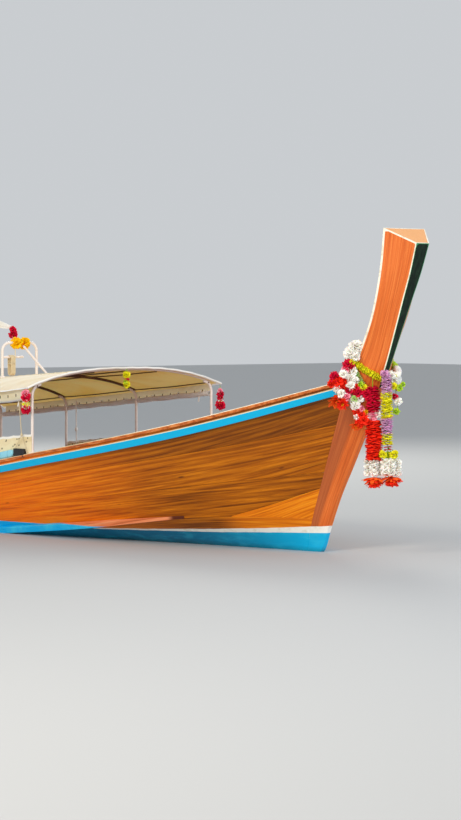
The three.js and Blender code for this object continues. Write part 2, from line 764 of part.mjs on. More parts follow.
function roofFrame() {
  const pieces = [];
  const drop = 10 + TUBE + 2;
  const stops = [ROOF_FRONT - 40, ROOF_POSTS[0], ROOF_POSTS[1], ROOF_AFT + 40];
  stops.forEach((x) => {
    const arch = ARCH_PLACES.map((k) => k * ROOF_POST_Y * 1.01).map((y) => vec(x, y, roofHeight(y) - drop));
    pieces.push(bentTube(arch, TUBE, 12, 6));
  });
  [0, 1, -1].forEach((side) => {
    const y = side * ROOF_POST_Y;
    const z = roofHeight(y) - drop - 6;
    pieces.push(rod(vec(stops[0] + 5, y, z), vec(stops[3] - 5, y, z), TUBE, 6));
  });
  ROOF_POSTS.forEach((x) => {
    [1, -1].forEach((side) => {
      const base = gunwaleAt(x);
      const foot = vec(x, side * (base.y - 42), base.z - CAP_SINK);
      pieces.push(rod(foot, vec(x, side * ROOF_POST_Y, roofHeight(ROOF_POST_Y) - drop), TUBE + 2));
      pieces.push(rod(vec(foot.x, foot.y, foot.z), vec(foot.x, foot.y, foot.z + 12), 34, 12));
    });
  });
  return cut(trimOnCaps(join(pieces)), [roofSheet(GAP)]);
}

// Garlands, as plain bodies of their outer shape

function hangingBody(profile, x, y, top) {
  const points = profile.map(([radius, drop]) => new THREE.Vector2(radius, -drop)).reverse();
  const geometry = new THREE.LatheGeometry(points, 10);
  geometry.rotateX(Math.PI / 2);
  return geometry.translate(x, y, top);
}

// Hanging strands. Columns: x, y, top, profile of [radius, distance below the top].
const STRANDS = [
  [4818, -65, 1470, [[0, 0], [48, 10], [52, 120], [50, 560], [72, 640], [80, 830], [95, 870], [70, 915], [0, 920]]],
  [4732, -121, 1440, [[0, 0], [55, 10], [62, 250], [60, 640], [66, 770], [90, 850], [70, 890], [0, 895]]],
  [4560, -312, 1520, [[0, 0], [70, 15], [98, 110], [92, 220], [60, 305], [0, 315]]],
];

// Flowers wound round the stem. Columns: x of the middle, z, half-width, half-length.
const COLLAR = [
  [4650, 1418, 180, 150],
  [4655, 1450, 250, 190],
  [4668, 1510, 275, 205],
  [4684, 1590, 250, 190],
  [4692, 1630, 205, 160],
];

function prowGarland() {
  const collar = loft(COLLAR.map(([x, z, half, length]) => range(0, 13, 13).map((i) => {
    const angle = (2 * Math.PI * i) / 14;
    return vec(x + length * Math.cos(angle), half * Math.sin(angle), z);
  })));
  const strands = STRANDS.map(([x, y, top, profile]) => hangingBody(profile, x, y, top));
  return cut(join([collar, ...strands]), [stem(1.2)]);
}

// Engine and tail

function engineBed() {
  return join([
    block(-4990, -4700, -190, 190, AFT_DECK_TOP + GAP, 620),
    rod(vec(PIVOT[0], 0, 600), vec(PIVOT[0], 0, 799.4), 60, 20),
  ]);
}

function yoke() {
  const post = rod(vec(0, 0, -200), vec(0, 0, -172), 125, 24);
  const arms = [1, -1].map((side) => {
    const y0 = side > 0 ? 196 : -226;
    return block(-45, 45, y0, y0 + 30, -190, 42);
  });
  const floor = block(-45, 45, -226, 226, -190, -165);
  const holes = [1, -1].map((side) => rod(vec(0, side * 180, 0), vec(0, side * 240, 0), 18.6, 20));
  return cut(join([post, floor, ...arms]), holes);
}

function cradle() {
  const rails = [1, -1].map((side) => block(-420, 640, side * 165 - 20, side * 165 + 20, -60, 0));
  const ties = [[-420, -380], [-30, 30], [600, 640]].map(([x0, x1]) => block(x0, x1, -165, 165, -60, -10));
  const pins = [1, -1].map((side) => rod(vec(0, side * 170, 0), vec(0, side * 224, 0), 18, 20));
  const cheeks = [1, -1].map((side) => block(-40, 40, side * 172 - 13, side * 172 + 13, -40, 34));
  const handle = rod(vec(620, 0, -30), vec(1180, 0, -60), 19, 10);
  const grip = rod(vec(1060, 0, -54), vec(1260, 0, -64), 25, 12);
  return join([...rails, ...ties, ...pins, ...cheeks, handle, grip]);
}

function engineBlock() {
  const outline = new THREE.Shape([[-150, GAP], [150, GAP], [150, 250], [110, 330], [-110, 330], [-150, 250]]
    .map(([y, z]) => new THREE.Vector2(y, z)));
  const body = new THREE.ExtrudeGeometry(outline, { depth: 560, bevelEnabled: false });
  body.rotateY(Math.PI / 2).rotateX(Math.PI / 2);
  body.translate(-160, 0, 0);
  const feet = [-140, 290].flatMap((x) => [
    block(x, x + 80, 140, 185, GAP, 30),
    block(x, x + 80, -185, -140, GAP, 30),
  ]);
  return join([body, ...feet]);
}

function cylinderHead() {
  return join([
    block(-120, 360, -95, 95, 330 + GAP, 372),
    block(-100, 340, -70, 70, 370, 430),
    ...range(-60, 300, 3).map((x) => rod(vec(x, 0, 425), vec(x, 0, 446), 16, 10)),
  ]);
}

function oilSump() {
  return loft([
    [vec(90, 110, 0), vec(90, -110, 0), vec(360, -110, 0), vec(360, 110, 0)],
    [vec(110, 100, -60), vec(110, -100, -60), vec(350, -100, -60), vec(350, 100, -60)],
    [vec(130, 80, -105), vec(130, -80, -105), vec(330, -80, -105), vec(330, 80, -105)],
  ]);
}

function bellHousing() {
  const sides = 24;
  // Columns: place along the engine, height of the middle, radius
  const circles = [[-160 - GAP, 150, 140], [-205, 150, 140], [-240, 125, 112], [-310, 62, 54], [-330, SHAFT_Z, 46], [-410, SHAFT_Z, 46]];
  return loft(circles.map(([x, z, radius]) => range(0, sides - 1, sides - 1).map((i) => {
    const angle = (2 * Math.PI * i) / sides;
    return vec(x, radius * Math.cos(angle), z + radius * Math.sin(angle));
  })));
}

function exhaust() {
  const manifold = block(-80, 320, 150 + GAP, 195, 232, 282);
  const stack = bentTube([vec(-60, 175, 258), vec(-130, 178, 270), vec(-170, 180, 330), vec(-175, 180, 470)], 24, 14);
  const muffler = rod(vec(-175, 180, 420), vec(-175, 180, 640), 52, 16);
  const outlet = rod(vec(-175, 180, 630), vec(-200, 180, 720), 22, 12);
  return join([manifold, stack, muffler, outlet]);
}

function airFilter() {
  return join([
    rod(vec(120, -220, 268), vec(120, -220, 430), 66, 20),
    rod(vec(120, -220, 428), vec(120, -220, 446), 40, 16),
    block(60, 260, -215, -150 - GAP, 236, 276),
  ]);
}

function frontPulley() {
  const blades = range(0, 5, 5).map((i) => {
    const blade = block(470, 476, -24, 24, 30, 118);
    blade.rotateX((i * Math.PI) / 3).translate(0, 0, 190);
    return blade;
  });
  return join([
    rod(vec(400 + GAP, 0, 90), vec(452, 0, 90), 78, 20),
    rod(vec(400 + GAP, 0, 190), vec(480, 0, 190), 40, 16),
    block(408, 440, -30, 30, 90, 190),
    ...blades,
  ]);
}

function shaftTube() {
  const fin = loft([[-3420, -110], [-3760, -250]].map(([x, depth]) => (
    [vec(x, 4, 30), vec(x, -4, 30), vec(x, -4, depth), vec(x, 4, depth)])));
  return join([
    rod(vec(-410 - GAP, 0, SHAFT_Z), vec(-520, 0, SHAFT_Z), 44, 16, 34),
    rod(vec(-515, 0, SHAFT_Z), vec(PROPELLER_X + HUB_FRONT + GAP, 0, SHAFT_Z), SHAFT_RADIUS, 14),
    fin,
    block(-3760, -3420, -85, 85, 100, 106),
    block(-3700, -3480, -4, 4, 60, 102),
  ]);
}

function propeller() {
  const hub = rod(vec(HUB_FRONT, 0, 0), vec(-50, 0, 0), 26, 18, 14);
  const thick = 3.5;
  // Columns: radius of the section, half its chord, pitch angle
  const sections = [[15, 26, 1.0], [60, 44, 0.85], [105, 46, 0.7], [140, 22, 0.6]];
  const blade = (turn) => loft(sections.map(([r, chord, pitch]) => {
    const c = Math.cos(pitch) * chord;
    const s = Math.sin(pitch) * chord;
    return [vec(-s - thick, -c, r), vec(-s + thick, -c, r), vec(s + thick, c, r), vec(s - thick, c, r)];
  })).rotateX(turn);
  const turns = [0, 1, 2].map((i) => (2 * Math.PI * i) / 3);
  return join([hub, ...turns.map(blade)]).translate(PROPELLER_X, 0, SHAFT_Z);
}

function fuelTank() {
  return join([
    block(-4560, -4260, 330, 530, AFT_DECK_TOP + GAP, 600),
    rod(vec(-4320, 430, 598), vec(-4320, 430, 628), 28, 14),
    block(-4520, -4400, 415, 445, 598, 625),
  ]);
}

// Assembly

place('keel', 'bottom_paint', keel());
place('stem_post', 'stem_wood', stem());
place('transom', 'hull_wood', transom());
SIDES.forEach(([label, side]) => {
  STRAKES.forEach(([name, from, to, start, end]) => {
    const slot = from === 0 ? 'bottom_paint' : 'hull_wood';
    place(`${name}_${label}`, slot, strake(from, to, start, end, side));
  });
  place(`gunwale_cap_${label}`, 'cap_wood', gunwaleCap(side));
  place(`rub_rail_${label}`, 'rail_paint', rubRail(side));
  place(`chine_rail_${label}`, 'rail_paint', chineRail(side));
  place(`bench_riser_${label}`, 'inner_wood', benchRiser(side));
  place(`side_curtain_${label}`, 'white_cloth', sideCurtain(side));
});
place('weather_cloth_starboard', 'canopy_cloth', weatherCloth(-1, -1950, 1385));
place('weather_cloth_port', 'canopy_cloth', weatherCloth(1, -845, 1385));
FRAME_GROUPS.forEach(([name, from, to, places]) => {
  place(name, 'inner_wood', trimInside(join([...places.map((x) => frame(x)), keelson(from, to)])));
});
place('floorboards', 'inner_wood', floorboards());
BENCH_PLACES.forEach((x, i) => {
  place(`bench_${i + 1}`, 'inner_wood', bench(x));
  place(`bench_cushion_${i + 1}`, 'seat_cloth', benchCushion(x));
});
const foredeck = deckBetween(FOREDECK_AFT, 4180, foredeckTop, PLANK - 8, 6);
place('foredeck', 'inner_wood', trimInside(foredeck));
place('foredeck_bulkhead', 'inner_wood', trimInside(foredeckBulkhead()));
const aftDeck = deckBetween(-5080, -4250, () => AFT_DECK_TOP, PLANK - 8, 4);
place('aft_deck', 'inner_wood', cut(trimInside(aftDeck), [frame(FRAME_PLACES[0], GAP)]));
place('canopy_frame', 'white_tube', canopyFrame());
place('canopy_cover', 'canopy_cloth', canopyCover());
place('roof_hoop', 'white_tube', roofHoop());
place('rope_hank', 'rope', ropeHank());
place('aft_roof_frame', 'white_tube', roofFrame());
place('aft_roof_cover', 'white_cloth', roofCover());
place('prow_garland', 'garland', prowGarland());
place('engine_bed', 'inner_wood', engineBed());
place('fuel_tank', 'fuel_plastic', fuelTank());

const turntable = new THREE.Group();
turntable.position.set(...PIVOT);
boat.add(turntable);
place('swivel_yoke', 'steel', yoke(), turntable);

const tail = new THREE.Group();
tail.rotation.y = -TAIL_ANGLE;
turntable.add(tail);
place('tilt_cradle', 'steel', cradle(), tail);
place('engine_block', 'engine_paint', engineBlock(), tail);
place('cylinder_head', 'cast_iron', cylinderHead(), tail);
place('oil_sump', 'cast_iron', oilSump(), tail);
place('bell_housing', 'cast_iron', bellHousing(), tail);
place('exhaust', 'cast_iron', exhaust(), tail);
place('air_filter', 'cast_iron', airFilter(), tail);
place('front_pulley', 'steel', frontPulley(), tail);
place('shaft_tube', 'steel', shaftTube(), tail);
place('propeller', 'bronze', propeller(), tail);

export default boat;
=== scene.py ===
"""Looks of a long-tail passenger boat afloat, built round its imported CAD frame.

All sizes are metres. X runs forward, Y to port and Z up, with the waterline at Z = 0.
"""

import bpy
import numpy as np
from mathutils import Matrix, Vector
from mathutils.bvhtree import BVHTree


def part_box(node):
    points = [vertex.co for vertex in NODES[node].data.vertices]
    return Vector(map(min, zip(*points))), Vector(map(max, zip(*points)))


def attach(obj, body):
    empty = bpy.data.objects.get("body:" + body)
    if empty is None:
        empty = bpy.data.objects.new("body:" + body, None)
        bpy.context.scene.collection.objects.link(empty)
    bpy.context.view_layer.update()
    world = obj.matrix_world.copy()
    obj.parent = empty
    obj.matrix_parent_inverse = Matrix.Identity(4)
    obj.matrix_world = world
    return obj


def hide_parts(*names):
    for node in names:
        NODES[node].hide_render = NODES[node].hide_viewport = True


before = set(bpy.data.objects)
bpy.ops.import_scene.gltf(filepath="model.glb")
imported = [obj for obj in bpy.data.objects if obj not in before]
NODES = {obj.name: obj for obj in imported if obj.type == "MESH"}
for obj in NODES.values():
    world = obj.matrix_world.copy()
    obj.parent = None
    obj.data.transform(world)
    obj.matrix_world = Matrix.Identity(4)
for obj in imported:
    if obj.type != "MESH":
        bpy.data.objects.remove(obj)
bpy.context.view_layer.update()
SIDES = (("port", 1), ("starboard", -1))


# Camera, at the photograph's viewing angle

CAMERA_PLACE = Vector((19.603, -14.075, 1.9))
CAMERA_HEADING = Vector((-0.7659, 0.6430, 0))
CAMERA_TILT_DOWN = np.radians(2.048)
CAMERA_LENS = 114.15


def aim_camera():
    """The camera looks along its heading, turned down by its tilt, with the horizon level."""
    data = bpy.data.cameras.new("camera")
    data.lens = CAMERA_LENS
    data.clip_end = 200
    camera = bpy.data.objects.new("camera", data)
    bpy.context.scene.collection.objects.link(camera)
    ahead = CAMERA_HEADING.normalized() * np.cos(CAMERA_TILT_DOWN)
    ahead.z = -np.sin(CAMERA_TILT_DOWN)
    right = ahead.cross(Vector((0, 0, 1))).normalized()
    turn = Matrix((right, right.cross(ahead), -ahead)).transposed().to_4x4()
    camera.matrix_world = Matrix.Translation(CAMERA_PLACE) @ turn
    bpy.context.scene.camera = camera


# Finishes

def srgb(colour):
    """A colour from 0 to 255 as the linear values that Blender takes."""
    part = np.array(colour) / 255
    linear = np.where(part <= 0.04045, part / 12.92, ((part + 0.055) / 1.055) ** 2.4)
    return (*linear.tolist(), 1.0)


class Finish:
    """A material being made. Each call adds nodes and returns an output. Colours run from 0 to 255."""

    def __init__(self, name, **constants):
        self.material = bpy.data.materials.new(name)
        self.material.use_nodes = True
        self.tree = self.material.node_tree
        self.shader = self.tree.nodes["Principled BSDF"]
        for socket, value in constants.items():
            self.feed(self.shader.inputs[socket.replace("_", " ")], value)

    def feed(self, socket, value):
        if isinstance(value, bpy.types.NodeSocket):
            self.tree.links.new(value, socket)
        else:
            socket.default_value = srgb(value) if socket.type == "RGBA" else value

    def add(self, kind, output, settings=None, **inputs):
        """Adds a node. An input is called by its name, or by its number after an i."""
        node = self.tree.nodes.new("ShaderNode" + kind)
        for name, value in (settings or {}).items():
            setattr(node, name, value)
        for name, value in inputs.items():
            self.feed(node.inputs[int(name[1:])] if name[1:].isdigit() else node.inputs[name], value)
        return node.outputs[output]

    def place(self):
        return self.add("TexCoord", "Object")

    def cloth_map(self):
        return self.add("TexCoord", "UV")

    def stretch(self, vector, scale, turn=(0, 0, 0)):
        return self.add("Mapping", "Vector", Vector=vector, Scale=scale, Rotation=turn)

    def noise(self, vector, scale, detail=3.0, rough=0.5, bend=0.0):
        """Noise at one scale, or stretched by three of them."""
        if isinstance(scale, tuple):
            vector, scale = self.stretch(vector, scale), 1.0
        return self.add("TexNoise", "Fac", Vector=vector, Scale=scale, Detail=detail, Roughness=rough,
                        Distortion=bend)

    def cells(self, vector, scale):
        if isinstance(scale, tuple):
            vector, scale = self.stretch(vector, scale), 1.0
        return self.add("TexVoronoi", "Distance", Vector=vector, Scale=scale)

    def waves(self, vector, scale, bend=0.0, direction="X"):
        return self.add("TexWave", "Fac", {"bands_direction": direction}, Vector=vector, Scale=scale,
                        Distortion=bend)

    def threads(self, flat, scale=60.0):
        """A plain weave: the higher one of warp and weft."""
        return self.maths("MAXIMUM", self.waves(flat, scale, 0.0, "X"), self.waves(flat, scale, 0.0, "Y"))

    def attribute(self, name):
        return self.add("Attribute", "Fac", {"attribute_name": name})

    def axis(self, vector, letter):
        return self.add("SeparateXYZ", letter, Vector=vector)

    def maths(self, operation, first, second=0.0):
        return self.add("Math", "Value", {"operation": operation}, i0=first, i1=second)

    def times(self, first, second):
        return self.maths("MULTIPLY", first, second)

    def plus(self, first, second):
        return self.maths("ADD", first, second)

    def less(self, first, second):
        return self.maths("SUBTRACT", first, second)

    def between(self, value, low, high):
        """0 below low, 1 above high, and smooth in between."""
        return self.add("MapRange", "Result", {"interpolation_type": "SMOOTHSTEP"},
                        Value=value, **{"From Min": low, "From Max": high})

    def ramp(self, value, stops):
        node = self.tree.nodes.new("ShaderNodeValToRGB")
        self.tree.links.new(value, node.inputs["Fac"])
        steps = node.color_ramp.elements
        while len(steps) < len(stops):
            steps.new(0.5)
        for step, (position, colour) in zip(steps, stops):
            step.position = position
            step.color = srgb(colour)
        return node.outputs["Color"]

    def mix(self, share, first, second):
        return self.add("Mix", 2, {"data_type": "RGBA"}, i0=share, i6=first, i7=second)

    def blend(self, value, low, high, first, second, share=1):
        """The first colour below low, the second as strongly as its share above high."""
        mask = self.between(value, low, high)
        return self.mix(mask if share == 1 else self.times(mask, share), first, second)

    def stain(self, shade, vector, texture, low, high, colour, share=1):
        """A colour laid over a shade where a noise lies above low and high. Texture is the noise's
        scale, detail, roughness and bend."""
        return self.blend(self.noise(vector, *texture), low, high, shade, colour, share)

    def done(self, colour, height, depth=0.0008, strength=0.5):
        """Links the colour and a bump of the height, and gives the material."""
        normal = self.add("Bump", "Normal", Height=height, Distance=depth, Strength=strength)
        self.feed(self.shader.inputs["Base Color"], colour)
        self.feed(self.shader.inputs["Normal"], normal)
        return self.material


def wood_colour(f, grain_map, tones, streak_share=0.55, fine=1.0):
    """Pale and deep wood in long streaks along the first axis of the map, with fine dark pores.
    Tones are pale, middle and deep."""
    broad = f.noise(grain_map, (0.55, 13.0 * fine, 13.0 * fine), 4.0, 0.6, 0.5)
    middle = f.noise(grain_map, (1.3, 46.0 * fine, 46.0 * fine), 5.0, 0.62, 0.4)
    pores = f.noise(grain_map, (9.0, 240.0, 240.0), 2.0, 0.5)
    pale, mid, deep = tones
    colour = f.ramp(middle, [(0.30, deep), (0.47, mid), (0.66, pale)])
    colour = f.blend(broad, 0.50, 0.68, colour, deep, streak_share)
    return f.blend(pores, 0.58, 0.72, colour, deep, 0.35), middle, pores


def bottom_blue(f):
    """Blue bottom paint with pale chalking: darker from amidships forward and dark teal by the water,
    both painted shade, and brighter towards the bow, which is painted light.
    """
    place = f.place()
    x = f.axis(place, "X")
    # darker blue forward of amidships: painted shade under the chine
    blue = f.blend(x, 0.6, 2.0, (0, 166, 228), (0, 116, 160))
    # brighter blue towards the bow: painted light where the bow faces the sun
    blue = f.blend(x, 2.6, 4.0, blue, (6, 176, 226))
    patches = f.noise(f.stretch(place, (2.6, 2.6, 9.0)), 1.6, 5.0, 0.6, 0.3)
    blue = f.blend(patches, 0.46, 0.72, blue, (56, 200, 236), 0.45)
    # dark teal just above the water: painted shade on the downward-facing bottom
    low = f.plus(f.axis(place, "Z"), f.times(patches, 0.05))
    return f.blend(low, 0.075, 0.02, blue, (20, 96, 92), 0.5)


def add_paint_line(f, colour):
    """Below the painted line the wood is blue, under a white band. The mesh carries the depth below the
    line and the band's width as attributes."""
    place = f.place()
    wobble = f.times(f.less(f.noise(place, 9.0, 2.0), 0.5), 0.006)
    depth = f.plus(f.attribute("below_line"), wobble)
    under = f.less(depth, f.attribute("band_width"))
    white = f.blend(f.noise(place, 14.0, 3.0), 0.45, 0.75, (244, 243, 236), (222, 219, 205))
    colour = f.blend(depth, 0.0, 0.0025, colour, white)
    return f.blend(under, 0.0, 0.0025, colour, bottom_blue(f))


def hull_planks_finish():
    """Varnished planks: bright orange amidships and browner towards the bow, which is painted shade, each
    plank of its own tone, and darker where the mesh gives it painted shade.
    """
    f = Finish("varnished_planks", Roughness=0.42, Specular_IOR_Level=0.15, Coat_Weight=0.10,
               Coat_Roughness=0.12)
    grain_map, place = f.cloth_map(), f.place()
    colour, middle, pores = wood_colour(f, grain_map, ((255, 142, 14), (244, 116, 2), (196, 80, 2)), 0.30)
    painted_shade_brown, _, _ = wood_colour(f, grain_map, ((206, 120, 12), (158, 84, 4), (92, 44, 2)), 0.50)
    # browner towards the bow: painted shade, as the forward sides turn away from the light
    forward = f.plus(f.axis(place, "X"), f.times(f.noise(place, 0.9, 2.0), 0.8))
    colour = f.blend(forward, 1.4, 3.6, colour, painted_shade_brown)
    golden = f.ramp(middle, [(0.30, (196, 92, 6)), (0.50, (240, 130, 8)), (0.66, (255, 158, 28))])
    colour = f.mix(f.attribute("plank_tone"), colour, golden)
    colour = f.blend(f.cells(grain_map, (1.7, 6.5, 1.0)), 0.085, 0.025, colour, (84, 36, 6), 0.8)
    # painted shade: deeper towards the bow on the upper planks, and on the planks' inner faces
    colour = f.mix(f.attribute("painted_shade_and_board_tone"), colour, (78, 38, 8))
    return f.done(add_paint_line(f, colour), f.plus(middle, f.times(pores, 0.5)))


def stem_finish():
    """The stem's timber: salmon wood with its grain upright, painted shade low on its sides near the aft
    edge, a paler top, cream painted edges and the bottom's paint.
    """
    f = Finish("stem_timber", Roughness=0.42, Specular_IOR_Level=0.2, Coat_Weight=0.12, Coat_Roughness=0.15)
    colour, middle, pores = wood_colour(
        f, f.cloth_map(), ((236, 132, 62), (222, 108, 42), (176, 78, 30)), 0.25, 2.0)
    shade = f.attribute("stem_shade")
    # darker low on the sides near the aft edge: painted shade; negative values give the paler top
    colour = f.mix(shade, colour, (142, 78, 50))
    colour = f.blend(shade, -0.3, -0.7, colour, (246, 186, 122), 0.8)
    cream = f.blend(f.noise(f.place(), 30.0, 3.0), 0.5, 0.7, (250, 244, 224), (226, 214, 186))
    colour = f.blend(f.attribute("edge_line"), 0.011, 0.009, colour, cream)
    return f.done(add_paint_line(f, colour), f.plus(middle, f.times(pores, 0.5)))


def prow_face_finish():
    """Dark green paint with a light green line along its edges."""
    f = Finish("prow_face_paint", Roughness=0.45, Specular_IOR_Level=0.2)
    strokes = f.noise(f.place(), (40.0, 40.0, 2.0), 4.0, 0.6)
    shade = f.blend(strokes, 0.35, 0.70, (8, 24, 14), (22, 46, 28))
    return f.done(f.blend(f.attribute("edge_line"), 0.0075, 0.0050, shade, (64, 142, 96)), strokes, 0.0006)


def wood_finish(name, tones, roughness=0.5, coat=0.15, worn=0.35):
    """Inner timber with grain along X, scuffed paler in patches. It reads Object coordinates."""
    f = Finish(name, Roughness=roughness, Specular_IOR_Level=0.25, Coat_Weight=coat, Coat_Roughness=0.3)
    place = f.place()
    colour, middle, pores = wood_colour(f, place, tones, 0.4)
    colour = f.stain(colour, place, (5.0, 6.0, 0.7), 0.55, 0.75, (206, 178, 140), worn)
    return f.done(colour, f.plus(middle, pores), 0.0007)


def board_finish(name, tones):
    """Scrubbed boards read along their map, each of its own tone, dirty at the joints and worn pale."""
    f = Finish(name, Roughness=0.62, Coat_Weight=0.05)
    colour, middle, pores = wood_colour(f, f.cloth_map(), tones, 0.4)
    place = f.place()
    colour = f.mix(f.times(f.attribute("painted_shade_and_board_tone"), 0.45), colour, tones[1])
    colour = f.stain(colour, place, (4.0, 6.0, 0.7), 0.52, 0.78, (216, 196, 164), 0.35)
    colour = f.stain(colour, place, (1.3, 4.0, 0.6), 0.56, 0.72, (96, 72, 52), 0.4)
    return f.done(colour, f.plus(middle, pores), 0.0008, 0.6)


def seam_edge(f, across):
    """How far out a place lies from the middle of its board, from 0 to a half."""
    return f.maths("ABSOLUTE", f.less(f.maths("FRACT", across), 0.5))


def deck_finish(name, tones, width):
    """Deck boards: grain along X, with a dark caulked seam every board width across Y."""
    f = Finish(name, Roughness=0.5, Coat_Weight=0.2, Coat_Roughness=0.3)
    place = f.place()
    colour, middle, pores = wood_colour(f, place, tones, 0.4)
    across = f.maths("DIVIDE", f.axis(place, "Y"), width)
    tone = f.maths("FRACT", f.times(f.maths("FLOOR", across), 0.618))
    colour = f.mix(f.times(tone, 0.4), colour, tones[1])
    seam = f.between(seam_edge(f, across), 0.5 - 0.0035 / width, 0.5 - 0.0018 / width)
    colour = f.mix(seam, colour, (48, 34, 26))
    colour = f.stain(colour, place, (5.0, 6.0, 0.7), 0.55, 0.75, (214, 188, 150), 0.3)
    return f.done(colour, f.less(f.plus(middle, pores), f.times(seam, 3.0)), 0.0008, 0.6)


def transom_finish():
    """Varnished boards across the stern over the blue bottom paint."""
    f = Finish("transom_boards", Roughness=0.38, Coat_Weight=0.5, Coat_Roughness=0.15)
    place = f.place()
    turned_map = f.stretch(place, (1.0, 1.0, 1.0), (0, 0, np.pi / 2))
    colour, middle, _ = wood_colour(f, turned_map, ((240, 136, 36), (216, 102, 16), (160, 68, 14)), 0.45)
    seam = f.between(seam_edge(f, f.maths("DIVIDE", f.axis(place, "Z"), 0.155)), 0.479, 0.490)
    colour = f.mix(seam, colour, (70, 36, 18))
    colour = f.blend(f.axis(place, "Z"), 0.106, 0.104, colour, bottom_blue(f))
    return f.done(colour, f.less(middle, f.times(seam, 2.0)))


def paint_finish(name, colour, worn, roughness=0.4, under=(150, 110, 76), coat=0.25):
    """Brushed gloss paint with faint lengthwise strokes and small chips to the surface under it."""
    f = Finish(name, Roughness=roughness, Specular_IOR_Level=0.25, Coat_Weight=coat, Coat_Roughness=0.2)
    place = f.place()
    strokes = f.noise(place, (1.5, 60.0, 60.0), 3.0, 0.6)
    shade = f.blend(strokes, 0.35, 0.75, colour, worn, 0.35)
    shade = f.stain(shade, place, (42.0, 6.0, 0.75), 0.70, 0.74, under, 0.7)
    return f.done(shade, strokes, 0.0006)


def metal_finish(name, colour, dark, metallic, roughness=0.45, rust=0.4):
    """Metal or its paint, with darker mottling and rust at the worst spots."""
    f = Finish(name, Metallic=metallic, Roughness=roughness)
    place = f.place()
    shade = f.stain(colour, place, (18.0, 5.0, 0.6), 0.40, 0.70, dark)
    shade = f.stain(shade, place, (34.0, 7.0, 0.75), 0.62, 0.72, (128, 68, 34), rust)
    return f.done(shade, f.noise(place, 120.0, 4.0), 0.0006)


def vinyl_finish(name, colour, worn):
    """Seat vinyl: leather grain in small cells, paler rubbed crowns and a darker blue in the sewn channels.
    """
    f = Finish(name, Roughness=0.42, Coat_Weight=0.12, Coat_Roughness=0.3)
    place = f.place()
    shade = f.stain(colour, place, (4.0, 5.0, 0.6), 0.45, 0.75, worn, 0.5)
    shade = f.stain(shade, place, (22.0, 5.0, 0.7), 0.55, 0.75, (120, 120, 104), 0.25)
    # darker blue along the sewn channels
    shade = f.mix(f.times(f.attribute("seam"), 0.6), shade, (54, 96, 124))
    return f.done(shade, f.cells(place, 420.0), 0.0006)


def tank_finish():
    """Red moulded plastic, faded and scuffed, with a moulded band round it."""
    f = Finish("tank_plastic", Roughness=0.48, Coat_Weight=0.1)
    place = f.place()
    shade = f.stain((186, 34, 26), place, (5.0, 5.0, 0.6), 0.40, 0.72, (214, 92, 70), 0.5)
    shade = f.stain(shade, place, (26.0, 5.0, 0.7), 0.58, 0.74, (84, 40, 30), 0.4)
    band = f.waves(f.stretch(place, (0.0, 0.0, 14.0)), 1.0, 0.0, "Z")
    return f.done(shade, f.plus(f.noise(place, 300.0, 3.0), f.times(band, 3.0)), 0.0010)


def rope_finish():
    """Laid rope: three strands that twist round it, read along and round the tube's map in metres."""
    f = Finish("laid_rope", Roughness=0.9, Sheen_Weight=0.2)
    flat = f.cloth_map()
    strands = f.waves(f.stretch(flat, (34.0, 60.0, 1.0), (0, 0, 0.6)), 1.0, 0.4, "X")
    fibre = f.noise(flat, (60.0, 500.0, 1.0), 4.0, 0.6)
    shade = f.mix(f.times(fibre, 0.3), f.mix(strands, (206, 184, 140), (246, 234, 200)), (176, 152, 108))
    return f.done(shade, f.plus(strands, f.times(fibre, 0.3)), 0.0012, 0.8)


def cloth_height(f, flat, folds=None, thread=0.3, scale=60.0):
    """Folds and threads of a cloth. The folds are soft creases where none are given."""
    if folds is None:
        folds = f.noise(flat, (3.0, 9.0, 1.0), 4.0, 0.55, 0.8)
    return f.plus(f.times(folds, 6.0), f.times(f.threads(flat, scale), thread))


def stitches(f, shade, inset, share, colour):
    """A thin line of stitches at an inset from the cloth's edge."""
    gap = f.maths("ABSOLUTE", f.less(f.attribute("from_edge"), inset))
    return f.blend(gap, 0.0016, 0.0010, shade, colour, share)


def eyelets(f, shade, flat, down, pitch, radius, colour):
    """Dark round eyelets every pitch along the cloth, 30 mm down from its edge."""
    step = f.times(f.less(f.maths("FRACT", f.maths("DIVIDE", f.axis(flat, "X"), pitch)), 0.5), pitch)
    rise = f.less(down, 0.030)
    ring = f.maths("SQRT", f.plus(f.times(step, step), f.times(rise, rise)))
    return f.blend(ring, radius, radius - 0.001, shade, colour)


THIN_CLOTH = {"Subsurface_Radius": (1.0, 0.85, 0.62), "Subsurface_Scale": 0.02}


def tape_finish():
    """White tape: a plain weave in the map's metres, faded patches, soft creases and grime."""
    f = Finish("white_tape", Roughness=0.85, Sheen_Weight=0.15, Sheen_Roughness=0.5)
    flat = f.cloth_map()
    grime = (190, 182, 164)
    shade = f.stain((248, 246, 240), flat, (1.7, 5.0, 0.6, 0.4), 0.42, 0.68, (232, 228, 216))
    shade = f.stain(shade, flat, ((2.0, 7.0, 1.0), 6.0, 0.7), 0.56, 0.78, grime, 0.45)
    shade = f.mix(f.times(f.threads(flat, 45.0), 0.08), shade, grime)
    return f.done(shade, cloth_height(f, flat, None, 0.35, 45.0), 0.0012, 0.6)


